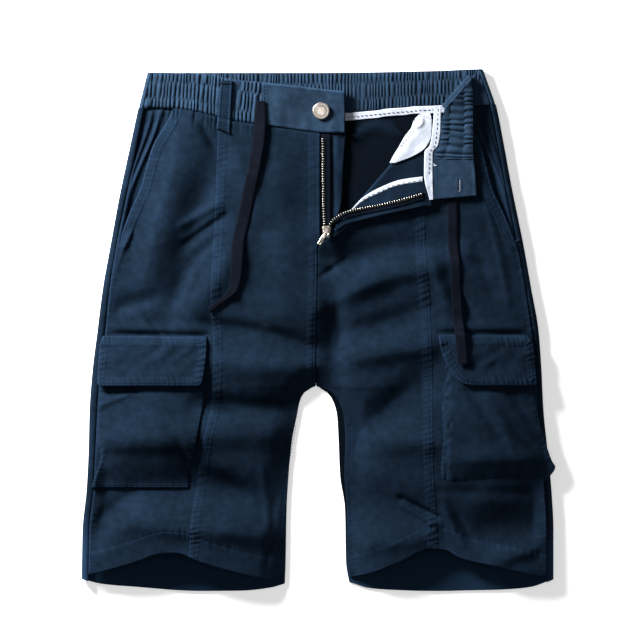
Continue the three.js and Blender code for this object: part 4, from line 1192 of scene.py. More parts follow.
    def make(self) -> None:
        """Makes every panel and its stitches."""
        sew = self.shorts.sew
        self._back("left")
        self._back("right")
        long_left, long_right = LONG_SEAM.reader("left"), LONG_SEAM.reader("right")
        inner_left, inner_right = INNER.reader("left"), INNER.reader("front_right")
        fly_edge = lambda d: mix(320.0, inner_left(d), smooth(236, 250, d))
        corner = lambda d: mix(self.lay.fold.side(d), inner_right(d), smooth(234, 252, d))
        side_edge = lambda d: np.maximum(long_right(d) - 0.9, np.where(d < 240, self.lay.fold.side(d) + 0.6, 0))
        right_inner = (self.long_left, self.middle, self.fly, self.hem_left, self.inseam_left)
        right_side = (self.mouth_left, self.hem_left, self.side_left)
        left_inner = (self.long_right, self.hem_right, self.inseam_right)
        left_side = (self.mouth_right, self.hem_right, self.side_right)
        self._front("front_right_inner_cloth", "front_right_inner", "left", ROW_TOP, lambda d: long_left(d) + 0.15,
                    fly_edge, right_inner)
        self._front("front_right_side_cloth", "front_right_side", "left", ROW_TOP, self._mouth("left"),
                    lambda d: long_left(d) + 0.9, right_side)
        self._front("front_left_side_cloth", "front_left_side", "right", ROW_TOP, side_edge, self._mouth("right"),
                    left_side)
        self._front("front_left_inner_cloth", "front_left_inner", "right", 142.0, corner,
                    lambda d: long_right(d) - 0.15, left_inner)
        self._facing("left")
        self._facing("right")
        front = lambda a, d: self.lay.front(a, d) + 0.3
        for points in (((311.5, 249.0), (315.5, 250.5)), ((117.0, 239.0), (121.0, 241.0)), ((516.0, 241.0), (520.0, 239.0))):
            bar = Track(points[0], tuple(np.mean(points, axis=0)), points[1])
            for away in (-0.5, 0.5):
                self.shorts.stitching.run("body", bar, away, front, pitch=0.8, size=1.6, thick=0.34)
        for seams in (right_inner, right_side, left_inner, left_side):
            surface = self.shorts.with_seams(self.lay.front, seams)
            height = lambda a, d, surface=surface: surface(a, d)[0]
            for seam in seams:
                if seam in (self.hem_left, self.hem_right) and seams in (right_side, left_side):
                    continue
                sew("body", seam, height)


class Bands:
    """The gathered and plain parts of the waistband, and the belt loop."""

    def __init__(self, shorts: Shorts) -> None:
        self.shorts = shorts
        self.lay = shorts.lay

    @staticmethod
    def gathers(along: Array, v: Array, pitch: float, seed: int, lean: float = 0.9,
                rows: tuple[float, float] = (0.27, 0.73)) -> tuple[Array, Array]:
        """Height from 0 to 1 and wear of gathers in three tunnels between stitch rows.

        Each tunnel's gathers are the absolute value of a sine of uneven phase, so their crests are
        round and their valleys sharp. They are pinched at the rows and at both edges.
        """
        noise = Noise(seed)
        along, v = np.broadcast_arrays(along, v)
        tunnel = (v > rows[0]).astype(float) + (v > rows[1])
        inside = np.interp(v, (0.0, rows[0], rows[1], 1.0), (0.0, 1.0, 2.0, 3.0)) - tunnel
        shift = lean * (v - 0.5) * 3
        phase = (along + shift) / pitch + 0.75 * noise.at(along / 9.0, tunnel * 0.6 + v) + 0.1 * np.sin(tunnel * 2.1)
        crest = np.abs(np.sin(np.pi * phase)) ** 0.8
        tall = 0.66 + 0.34 * noise.at(along / 5.0, 9.0 + 0.5 * tunnel)
        pinch = np.sin(np.pi * np.clip(inside, 0.06, 0.94)) ** 0.3
        return crest * tall * pinch, 0.22 * crest * tall * pinch

    def _back(self) -> None:
        """Back of the waistband, with its inside up between its two rolled ends."""
        turns = np.linspace(0.0, 1.0, 9)
        v = spaced(36.0, 1.5, 0.7, 1.0, 1.0)[:, None]
        level = mix(72.0, 107.0, v)
        left, right = SIDES.read("left", level) + SIDE_ROLL, SIDES.read("right", level) - SIDE_ROLL
        share = np.linspace(0.0, 1.0, 620)[None, 1:-1]
        faces = []
        for wall in (0.0, 2.2):
            radius = SIDE_ROLL - wall
            turn = np.pi * (1 - turns)[None, :]
            start = np.stack((left - radius * np.sin(turn), SIDE_ROLL - radius * np.cos(turn) + 0 * left), -1)
            turn = np.pi * turns[None, :]
            stop = np.stack((right + radius * np.sin(turn), SIDE_ROLL - radius * np.cos(turn) + 0 * right), -1)
            a = mix(left, right, share)
            rise, _ = self.gathers(a, v + 0 * a, 3.7, 41, 0.3, (0.27, 0.67))
            z = np.zeros(a.shape) if wall == 0 else 1.2 + 2.5 * rise
            faces.append(np.concatenate((start, np.stack((a, z), -1), stop), axis=1))
        full = []
        for grid in faces:
            a = grid[..., 0]
            d = mix(BACK_WAIST.read("top", a), BACK_WAIST.read("seam", a), v)
            full.append(np.stack((a, d, grid[..., 1]), -1))
        _, worn_and_painted_light = self.gathers(full[1][..., 0], v + 0 * full[1][..., 0], 3.7, 41, 0.3, (0.27, 0.67))
        item = make_cloth("waistband_back_cloth", [Shell(full[0], full[1], worn_and_painted_light)])
        self.shorts.workshop.finish(item, Finish.BAND, ("waistband_back",))

    def side_right(self, a: Array, d: Array) -> tuple[Array, Array]:
        """Height and wear of the gathered front waistband on the wearer's right."""
        v = (d - WAIST.read("top", a)) / (WAIST.read("seam", a) - WAIST.read("top", a))
        rise, worn_and_painted_light = self.gathers(a, np.clip(v, 0, 1), 4.1, 42)
        return self.lay.band(a, d) - 1.6 + 3.1 * rise, worn_and_painted_light

    def plain_right(self, a: Array, d: Array) -> tuple[Array, Array]:
        """Height and wear of the plain front waistband, with its tunnel lines."""
        top, seam = WAIST.read("top", a), WAIST.read("seam", a)
        v = (d - top) / (seam - top)
        noise = self.lay.fine
        z = self.lay.band(a, d) + 0.7 * noise.at(a / 9.0, d / 16.0) + 0.2
        z = z - 0.3 * bell((v - 0.12) * 38, 0.8) - 0.25 * bell((v - 0.93) * 38, 0.8)
        wear_and_painted_light = 0.3 * bell((v - 0.97) * 38, 1.5) + 0.3 * bell(v * 38 - 1.0, 1.5)
        return z, wear_and_painted_light

    def _front_right(self) -> None:
        """Gathered and plain parts of the front waistband on the wearer's right."""
        v = spaced(36.0, 1.2, 0.6, 1.2, 1.2)[:, None]
        share = spaced(118.0, 0.48, 0.3, 1.0, 1.0)[None, :]
        level = mix(72.0, 107.0, v)
        a = mix(SIDES.read("left", level) + SIDE_ROLL + 0.3, 261.8, share)
        wavy = 0.9 * self.lay.fine.at(a / 5.2, 1.0)
        d = mix(WAIST.read("top", a) + 0.4 * wavy, WAIST.read("seam", a) + 0.5 + wavy, v)
        z, wear_and_painted_light = self.side_right(a, d)
        z = z - edge_drop(v * 36 + 0 * a, 1.4) - edge_drop((1 - v) * 36 + 0 * a, 1.4)
        item = make_cloth("waistband_side_right_cloth", [Shell.lying(a, d, z, BAND - 0.6, wear_and_painted_light)])
        self.shorts.workshop.finish(item, Finish.BAND, ("waistband_side_right",))
        share = spaced(83.0, 1.1, 0.5, 2.0, 2.0)[None, :]
        a = mix(262.1, 345.0, share + 0 * v)
        d = mix(WAIST.read("top", a), WAIST.read("seam", a), v)
        z, wear_and_painted_light = self.plain_right(a, d)
        z = z - edge_drop(v * 40 + 0 * a, 1.4) - edge_drop((1 - v) * 40 + 0 * a, 1.4)
        z = z - edge_drop((345 - a), 1.4) - edge_drop(a - 262.1, 0.8)
        item = make_cloth("waistband_front_right_cloth", [Shell.lying(a, d, z, BAND, wear_and_painted_light)])
        self.shorts.workshop.finish(item, Finish.BAND, ("waistband_front_right",))

    def _side_left(self) -> None:
        """Waistband of the wearer's left: from the side roll to the fold, over it and down the corner."""
        fold = self.lay.fold
        v = spaced(36.0, 1.2, 0.6, 1.2, 1.2)[:, None]
        p = mix(219.0, 178.0, v)
        start_a, start_d = fold.out(p, BAND_FOLD_RADIUS + 0 * p)
        start_z = self.lay.band(start_a, start_d)
        level = mix(72.0, 107.0, v)
        seam_a = SIDES.read("right", level) - SIDE_ROLL - 0.3
        seam_d = mix(SIDE_WAIST.read("top", seam_a), SIDE_WAIST.read("seam", seam_a), v)
        lower = np.linspace(0.0, 1.0, 26)[None, :-1]
        low_a, low_d = mix(seam_a, start_a, lower), mix(seam_d, start_d, lower)
        rise, worn_low = self.gathers(low_a, v + 0 * low_a, 4.0, 43, lean=0.4)
        low_z = self.lay.band(low_a, low_d) - 0.9 + 1.9 * rise
        turn = np.pi * np.linspace(0.0, 1.0, 11)[None, :]
        upper = np.linspace(0.0, 1.0, 250)[None, 1:]
        up_d = mix(start_d, 159.0, upper)
        reach = smooth(0, 0.25, upper)
        up_a = mix(start_a, mix(TURNED_BAND.read("top", up_d), TURNED_BAND.read("seam", up_d), v), reach)
        rise, worn_up = self.gathers(up_d, v + 0 * up_d, 6.3, 44, lean=1.4)
        up_z = mix(start_z - BAND + 2 * BAND_FOLD_RADIUS, self.lay.turned_band(up_a, up_d), smooth(0, 0.3, upper))
        up_z = up_z - 0.6 * smooth(0, 0.12, upper) + 3.2 * rise * smooth(0, 0.03, upper)
        faces, backs = [], []
        for wall, store in ((0.0, faces), (BAND - 0.6, backs)):
            radius = BAND_FOLD_RADIUS - wall
            radius = radius + 0.8 * np.sin(2 * np.pi * p / 4.6 + 0.8 * np.sin(p / 3.1)) * np.sin(turn)
            arc_a, arc_d = fold.out(p, BAND_FOLD_RADIUS - radius * np.sin(turn))
            arc_z = start_z - BAND + BAND_FOLD_RADIUS - radius * np.cos(turn)
            sign = 1 if wall == 0 else 0
            low_level = low_z - BAND if sign else low_z - 0.6
            high_level = up_z if sign else up_z - wall
            store.append(np.stack((low_a, low_d, low_level), -1))
            store.append(np.stack((arc_a, arc_d, arc_z), -1))
            store.append(np.stack((up_a, up_d, high_level), -1))
        worn_and_painted_light = np.concatenate((worn_low, 0.1 * np.ones((len(v), turn.shape[1])), worn_up), axis=1)
        shell = Shell(np.concatenate(faces, axis=1), np.concatenate(backs, axis=1), worn_and_painted_light)
        item = make_cloth("waistband_side_left_cloth", [shell])
        self.shorts.workshop.finish(item, Finish.BAND, ("waistband_side_left",))

    def end_left(self, a: Array, d: Array) -> tuple[Array, Array]:
        """Height and wear of the plain waistband end on the turned corner, with its buttonhole."""
        z = self.lay.turned_band(a, d) + 0.3 * self.lay.fine.at(a / 7.0, d / 9.0)
        hole = bell(a - 458.8, 0.9) * smooth(179, 181, d) * smooth(192, 190, d)
        rim = bell(np.abs(a - 458.8) - 1.8, 0.8) * smooth(177.5, 179.5, d) * smooth(193.5, 191.5, d)
        return z - 1.4 * hole + 0.5 * rim, 0.3 * bell(a - 474.0, 2.0)

    def _front_left(self) -> None:
        """Plain waistband end on the turned corner."""
        v = spaced(40.0, 1.0, 0.5, 1.5, 2.0)[:, None]
        u = spaced(43.0, 0.8, 0.45, 2.0, 2.0)[None, :]
        d = mix(159.3, mix(200.0, 196.0, u), v)
        a = mix(TURNED_BAND.read("seam", d), TURNED_BAND.read("top", d), u)
        z, wear_and_painted_light = self.end_left(a, d)
        z = z - edge_drop((1 - v) * 40 + 0 * a, 1.4) - edge_drop((1 - u) * 43 + 0 * a, 1.4)
        item = make_cloth("waistband_front_left_cloth", [Shell.lying(a, d, z, BAND, wear_and_painted_light)])
        self.shorts.workshop.finish(item, Finish.BAND, ("waistband_front_left",))

    def _loop(self) -> None:
        """Belt loop over the waistband, turned under at both ends."""
        v = spaced(54.0, 1.0, 0.5, 2.0, 3.0)[:, None]
        u = spaced(12.8, 0.7, 0.4, 1.5, 1.5)[None, :]
        a = mix(mix(220.5, 216.5, v), mix(232.5, 229.5, v), u)
        d = mix(80.5, mix(129.0, 134.5, u), v)
        away = np.minimum(u, 1 - u) * 12.8 + 0 * v
        base = self.lay.front(a, d, rough=0.2) + BAND_RISE + 2.3 - 0.5 * smooth(118, 134, d)
        z = base + 0.35 * smooth(3.2, 1.8, away) - 0.3 * bell(away - 2.6, 0.6)
        z = z - edge_drop(away) - edge_drop(np.minimum(v, 1 - v) * 54 + 0 * a)
        z = z - 0.5 * bell(v * 54 - 4.5, 1.0) - 0.5 * bell((1 - v) * 54 - 6.5, 1.0)
        item = make_cloth("belt_loop_cloth", [Shell.lying(a, d, z, 1.9, 0.5 * bell(away - 0.8, 1.0))])
        self.shorts.workshop.finish(item, Finish.TWILL, ("belt_loop",))

    def make(self) -> None:
        """Makes the waistband and the belt loop."""
        self._back()
        self._front_right()
        self._side_left()
        self._front_left()
        self._loop()
        self._details()

    def _details(self) -> None:
        """Stitch rows of the tunnels, the loop's bars, the cord's eyelet and the buttonhole's rim."""
        run = self.shorts.stitching.run
        gathered = lambda a, d: self.side_right(a, d)[0]
        plain = lambda a, d: self.plain_right(a, d)[0]
        for share in (0.27, 0.73):
            knots = [(a, float(mix(WAIST.read("top", a), WAIST.read("seam", a), share))) for a in range(142, 262, 12)]
            run("band", Track(*knots), 0.0, gathered, pitch=2.6, size=2.0)
        for share in (0.06, 0.95):
            knots = [(a, float(mix(WAIST.read("top", a), WAIST.read("seam", a), share))) for a in range(264, 346, 16)]
            run("band", Track(*knots), 0.0, plain)
        for a in (264.2, 266.8):
            run("band", Track((a, 85.0), (a, 104.0), (a, 122.5)), 0.0, plain)
        run("band", Track((281.0, 84.5), (281.6, 92.0), (283.0, 99.0)), 0.0, plain)
        loop = lambda a, d: self.lay.front(a, d, rough=0.2) + BAND_RISE + 2.45
        for share in (0.16, 0.84):
            line = Track((220.5 + 12 * share, 82.5), (218.5 + 12.5 * share, 106.0), (216.8 + 12.8 * share, 130.0))
            run("body", line, 0.0, loop)
        for level in (84.2, 128.4):
            lean = 0.0 if level < 100 else 5.0
            bar = Track((218.2, level), (224.0, level + lean / 2), (230.0, level + lean))
            run("bindings", bar, 0.0, loop, pitch=0.8, size=1.5, thick=0.34)
            run("bindings", bar, 0.9, loop, pitch=0.8, size=1.5, thick=0.34)
        turns = np.linspace(0.0, 2 * np.pi, 15)
        eyelet = Track(*zip(260.2 + 4.6 * np.cos(turns), 98.2 + 3.6 * np.sin(turns)))
        run("bindings", eyelet, 0.0, gathered, pitch=0.9, size=1.5, thick=0.36)
        end = lambda a, d: self.end_left(a, d)[0]
        rim = Track((458.0, 180.2), (457.9, 185.0), (458.0, 190.6), (458.8, 191.4), (459.7, 190.6), (459.7, 185.0),
                    (459.6, 180.2))
        run("light", rim, 0.0, end, pitch=0.9, size=1.2, thick=0.2)
        run("light", Track((433.8, 164.0), (435.0, 166.2), (436.4, 165.2)), 0.0, end, pitch=1.3, size=1.8, thick=0.55)
        for share in (0.08, 0.95):
            low, high = mix(433.6, 477.0, share), mix(433.6, 474.0, share)
            run("body", Track((high, 161.0), ((low + high) / 2, 180.0), (low, 197.0)), 0.0, end)


class Corner:
    """The left front's corner that lies inside out, with its facing, bindings and pocket bag."""

    def __init__(self, shorts: Shorts) -> None:
        self.shorts = shorts
        self.lay = shorts.lay

    def _turned(self) -> None:
        """Cloth round the fold and back over the front."""
        fold = self.lay.fold
        p = mix(8.0, 171.0, spaced(163.0, 1.5, 0.8, 2.0, 2.0))[:, None]
        start_a, start_d = fold.out(p, FOLD_RADIUS + 0 * p)
        under = self.lay.plain_under(start_a, start_d) - 1.6
        turn = np.pi * np.linspace(0.0, 1.0, 9)[None, :]
        share = spaced(50.0, 1.5, 0.6, 0.0, 2.0)[None, 1:]
        reach = np.maximum(TURNED_EDGE.read("reach", p), FOLD_RADIUS + 0.8)
        q = mix(FOLD_RADIUS, reach, share)
        flat_a, flat_d = fold.out(p, q)
        ripple = 0.5 * self.lay.broad.at(flat_a / 17.0, flat_d / 17.0)
        flat_z = self.lay.turned(flat_a, flat_d) + ripple * smooth(3.0, 12.0, q)
        tongue = np.where(p < 122, 1.2, 0.0)
        faces, backs = [], []
        for wall, store in ((0.0, faces), (CLOTH, backs)):
            radius = FOLD_RADIUS - wall
            tip_a, tip_d = fold.out(p, FOLD_RADIUS + tongue)
            store.append(np.stack((tip_a, tip_d, under + (0.3 if wall == 0 else 1.3)), -1))
            arc_a, arc_d = fold.out(p, FOLD_RADIUS - radius * np.sin(turn))
            store.append(np.stack((arc_a, arc_d, under + FOLD_RADIUS - radius * np.cos(turn)), -1))
            store.append(np.stack((flat_a, flat_d, flat_z - wall), -1))
        shell = Shell(np.concatenate(faces, axis=1), np.concatenate(backs, axis=1))
        shell.wear_and_painted_light = 0.3 + 0.4 * bell(np.arange(shell.face.shape[1])[None, :] - 5.0, 2.0) + np.zeros((len(p), 1))
        item = make_cloth("front_left_corner_cloth", [shell])
        self.shorts.workshop.finish(item, Finish.INSIDE, ("front_left_inner",))

    def _strip(self, name: str, node: str, a: Array, d: Array, lift: float, wall: float, finish: Finish,
               away: Array | None = None, rise: Array | float = 0.0) -> bpy.types.Object:
        """A piece that lies on the turned cloth at a given lift."""
        z = self.lay.turned(a, d) + lift + rise
        if away is not None:
            z = z - edge_drop(away, 0.7)
        item = make_cloth(name, [Shell.lying(a, d, z, wall)])
        self.shorts.workshop.finish(item, finish, (node,))
        return item

    def make(self) -> None:
        """Makes the turned corner and all that lies on it."""
        self._turned()
        v = spaced(26.0, 1.0, 0.5, 1.5, 1.5)[:, None]
        u = spaced(77.0, 1.4, 0.6, 1.0, 1.0)[None, :]
        a = mix(335.5, 432.0, u + 0 * v)
        d = mix(FACING.read("upper", a), FACING.read("lower", a), v) + 6.5 * smooth(347, 335, a)
        facing = self._strip("fly_facing_cloth", "fly_facing", a, d, 1.45, THIN, Finish.TWILL,
                             away=(1 - v) * 24 + 0 * a)
        v = spaced(7.0, 0.8, 0.5)[:, None]
        u = spaced(96.0, 1.6, 0.8)[None, :]
        a = mix(333.0, 423.0, u + 0 * v)
        d = FACING.read("chain", a) + smooth(346, 333, a) * 5 + mix(-3.0, 4.0, v)
        self._strip("zip_tape_left_cloth", "zip_tape_left", a, d, 2.7, 0.7, Finish.TAPE)
        v = spaced(6.0, 0.7, 0.4, 1.0, 1.0)[:, None]
        u = spaced(86.0, 1.6, 0.8)[None, :]
        a = mix(347.0, 422.5, u + 0 * v)
        upper = FACING.read("upper", a) - 0.4
        d = mix(upper + mix(0.45, 1.0, smooth(347, 378, a)) * (FACING.read("binding", a) - upper), upper, v)
        away = np.minimum(v, 1 - v) * 6 + 0 * a
        self._strip("binding_facing_cloth", "binding_facing", a, d, 1.5, THIN, Finish.COTTON,
                    away=away, rise=0.3 * self.lay.fine.at(a / 6.0, d / 6.0))
        v = spaced(50.0, 1.2, 0.6, 1.5, 1.5)[:, None]
        u = spaced(25.0, 1.0, 0.5, 1.5, 1.5)[None, :]
        d = mix(113.0, 163.0, v + 0 * u)
        a = mix(BAG_CORNER.read("start", d), BAG_CORNER.read("stop", d), u)
        p, q = self.lay.fold.into(a, d)
        beyond = np.maximum(0.0, FOLD_RADIUS - q)
        curl = 1.6 * bell(np.hypot(a - 417, d - 121) - 5.0, 2.4)
        self._strip("pocket_bag_cloth", "pocket_bag", a, d, 1.45, THIN, Finish.COTTON,
                    rise=curl - 0.012 * beyond ** 2 + 0.5 * self.lay.broad.at(a / 11.0, d / 8.0))
        v = spaced(94.0, 1.3, 0.6)[:, None]
        u = spaced(8.0, 0.8, 0.45, 1.0, 1.0)[None, :]
        d = mix(106.0, 200.0, v + 0 * u)
        a = mix(SIDE_TAPE.read("start", d), SIDE_TAPE.read("stop", d), u)
        away = np.minimum(u, 1 - u) * 8 + 0 * a
        self._strip("binding_side_waist_cloth", "binding_side_waist", a, d, 1.5, THIN, Finish.COTTON,
                    away=away,
                    rise=0.35 * self.lay.fine.at(a / 5.0, d / 7.0) + 1.2 * smooth(170, 181, d))
        v = spaced(8.0, 0.7, 0.4, 1.0, 1.0)[:, None]
        u = spaced(292.0, 1.4, 0.8)[None, :]
        a = mix(170.0, 462.0, u + 0 * v)
        d = BACK_WAIST.read("seam", a) + mix(0.3, 8.0, v) + 0.5 * self.lay.fine.at(a / 9.0, 2.0)
        z = 1.6 + 0.35 + 1.1 + 0.5 * self.lay.fine.at(a / 7.0, d / 9.0) - edge_drop(np.minimum(v, 1 - v) * 8 + 0 * a, 0.7)
        item = make_cloth("binding_back_waist_cloth", [Shell.lying(a, d, z + 0.4, THIN)])
        run = self.shorts.stitching.run
        middle = Track(*((x, float(BACK_WAIST.read("seam", x)) + 4.6) for x in range(346, 438, 10)))
        run("bindings", middle, 0.0, lambda x, y: 3.95 + 0 * x, pitch=4.4, size=3.0, thick=0.34)
        strip = lambda x, y: self.lay.turned(x, y) + 1.75
        side = Track(*((float(mix(SIDE_TAPE.read("start", y), SIDE_TAPE.read("stop", y), 0.55)), y)
                       for y in range(108, 200, 9)))
        run("bindings", side, 0.0, strip, pitch=4.6, size=3.0, thick=0.24)
        low = Track(*((x, float(FACING.read("upper", x)) - 1.8) for x in range(350, 423, 9)))
        run("bindings", low, 0.0, strip, pitch=5.2, size=3.0, thick=0.18)
        curl = Track((414.0, 121.0), (415.5, 115.8), (421.0, 114.8), (426.0, 116.4), (430.0, 114.8))
        run("bindings", curl, 0.0, lambda x, y: self.lay.turned(x, y) + 3.0, pitch=2.2, size=1.8, thick=0.34)
        hem = Track((399.0, 146.0), (405.0, 137.0), (411.0, 129.0))
        run("bindings", hem, -1.2, strip, pitch=3.0, size=2.0, thick=0.26)
        self.shorts.workshop.finish(item, Finish.COTTON, ("binding_back_waist",))


class Fly:
    """The open fly: shield, tapes and teeth."""

    PITCH = 2.5

    def __init__(self, shorts: Shorts) -> None:
        self.shorts = shorts
        self.lay = shorts.lay
        self.chain_right = Track((323.0, 137.5), (323.2, 170), (323.8, 205), (325.0, 228))
        upper = [(a, float(FACING.read("chain", a)) - 1.2) for a in (346, 362, 376, 400, 423)]
        self.chain_left = Track((328.5, 228.0), (333, 220.5), (339, 216.5), *upper)

    def tape_right(self, a: Array, d: Array) -> Array:
        """Face of the zip tape beside the fly edge."""
        return self.lay.front(a, d, rough=0.4) - LAYER + 0.9

    def tape_left(self, a: Array, d: Array) -> Array:
        """Face of the zip tape on the turned facing."""
        return self.lay.turned(a, d) + 2.9

    def _teeth(self, name: str, track: Track, surface: Height, side: float) -> None:
        """Teeth across a track: each a small prism with a rounded top, every second one set aside."""
        count = int(track.length / self.PITCH)
        along = (np.arange(count) + 0.5) * self.PITCH
        a, d = track.place(along, 0.0)
        ta, td = track.direction(along)
        z = surface(a, d)
        ca, cd = td * side, -ta * side
        profile = ((-0.4, 0.0), (-0.4, 1.0), (-0.2, 1.5), (0.2, 1.5), (0.4, 1.0), (0.4, 0.0))
        ends = ((-1.4, 0.75), (-1.2, 1.0), (0.9, 1.0), (1.45, 0.7))
        rings = []
        for reach, swell in ends:
            for step, high in profile:
                rings.append(np.stack((
                    a + ca * reach + ta * step * swell,
                    d + cd * reach + td * step * swell,
                    z - 0.1 + high * swell,
                ), -1))
        points = np.stack(rings, axis=1)
        size = len(profile)
        pattern = [(r * size + i, r * size + (i + 1) % size, (r + 1) * size + (i + 1) % size, (r + 1) * size + i)
                   for r in range(len(ends) - 1) for i in range(size)]
        end = (len(ends) - 1) * size
        pattern += [(3, 2, 1, 0), (5, 4, 3, 0), (end, end + 1, end + 2, end + 3), (end, end + 3, end + 4, end + 5)]
        faces = (np.array(pattern)[None] + (np.arange(count) * points.shape[1])[:, None, None]).reshape(-1, 4)
        item = make_mesh(name, to_world(points.reshape(-1, 3)), faces)
        self.shorts.workshop.finish(item, Finish.TEETH)

    def make(self) -> None:
        """Makes the pieces of the fly."""
        v = spaced(88.0, 1.3, 0.6, 1.0, 1.0)[:, None]
        u = spaced(36.0, 1.2, 0.6, 1.0, 2.0)[None, :]
        d = mix(133.6, 222.0, v + 0 * u)
        a = mix(308.0, FLY_SPREAD.read("stop", d), u)
        z = self.lay.front(a, d, rough=0.4) - 2 * LAYER + 0.6 * self.lay.fine.at(a / 7.0, d / 15.0)
        z = z + 1.2 * bell(a - 337.0, 4.0)
        z = z - edge_drop(FLY_SPREAD.read("stop", d) - a, 1.2)
        item = make_cloth("fly_shield_cloth", [Shell.lying(a, d, z, CLOTH, 0.3 * bell(a - 339.0, 3.0))])
        self.shorts.workshop.finish(item, Finish.TWILL, ("fly_shield",))
        u = spaced(16.0, 1.0, 0.6)[None, :]
        d = mix(133.6, 224.0, v + 0 * u)
        a = mix(314.0, 330.0, u + 0 * v)
        item = make_cloth("zip_tape_right_cloth", [Shell.lying(a, d, self.tape_right(a, d), 0.8)])
        self.shorts.workshop.finish(item, Finish.TAPE, ("zip_tape_right",))
        self._teeth("zip_teeth_right", self.chain_right, self.tape_right, 1.0)
        self._teeth("zip_teeth_left", self.chain_left, self.tape_left, -1.0)


def revolve(profile: Sequence[tuple[float, float]], segments: int = 48) -> tuple[Array, Array]:
    """Points in mm and quads of a closed turned form from (radius, height) pairs."""
    turn = np.arange(segments) * 2 * np.pi / segments
    rings = [np.stack((r * np.cos(turn), r * np.sin(turn), np.full(segments, z)), -1) for r, z in profile]
    index = np.arange(len(profile) * segments).reshape(len(profile), segments)
    after = np.roll(index, -1, axis=1)
    quads = np.stack((index[:-1], after[:-1], after[1:], index[1:]), -1).reshape(-1, 4)
    return np.concatenate(rings), quads


def slab(outline: Array, profile: Sequence[tuple[float, float]]) -> tuple[Array, Array]:
    """Points in mm and quads of a plate with bevelled edges from (inset, height) pairs."""
    middle = outline.mean(axis=0)
    away = outline - middle
    reach = np.linalg.norm(away, axis=1, keepdims=True)
    rings = []
    for inset, z in profile:
        flat = middle + away * np.maximum(0.02, 1 - inset / reach)
        rings.append(np.column_stack((flat, np.full(len(flat), z))))
    index = np.arange(len(profile) * len(outline)).reshape(len(profile), len(outline))
    after = np.roll(index, -1, axis=1)
    quads = np.stack((index[:-1], after[:-1], after[1:], index[1:]), -1).reshape(-1, 4)
    return np.concatenate(rings), quads


def rounded(corners: Sequence[tuple[float, float]], radius: float, steps: int = 5) -> Array:
    """Outline through corners that are rounded by short curves."""
    points = []
    count = len(corners)
    for i in range(count):
        last, here, after = (np.array(corners[(i + k) % count], dtype=float) for k in (-1, 0, 1))
        back = here + (last - here) / np.linalg.norm(last - here) * radius
        ahead = here + (after - here) / np.linalg.norm(after - here) * radius
        for t in np.linspace(0.0, 1.0, steps):
            points.append((1 - t) ** 2 * back + 2 * t * (1 - t) * here + t * t * ahead)
    return np.array(points)


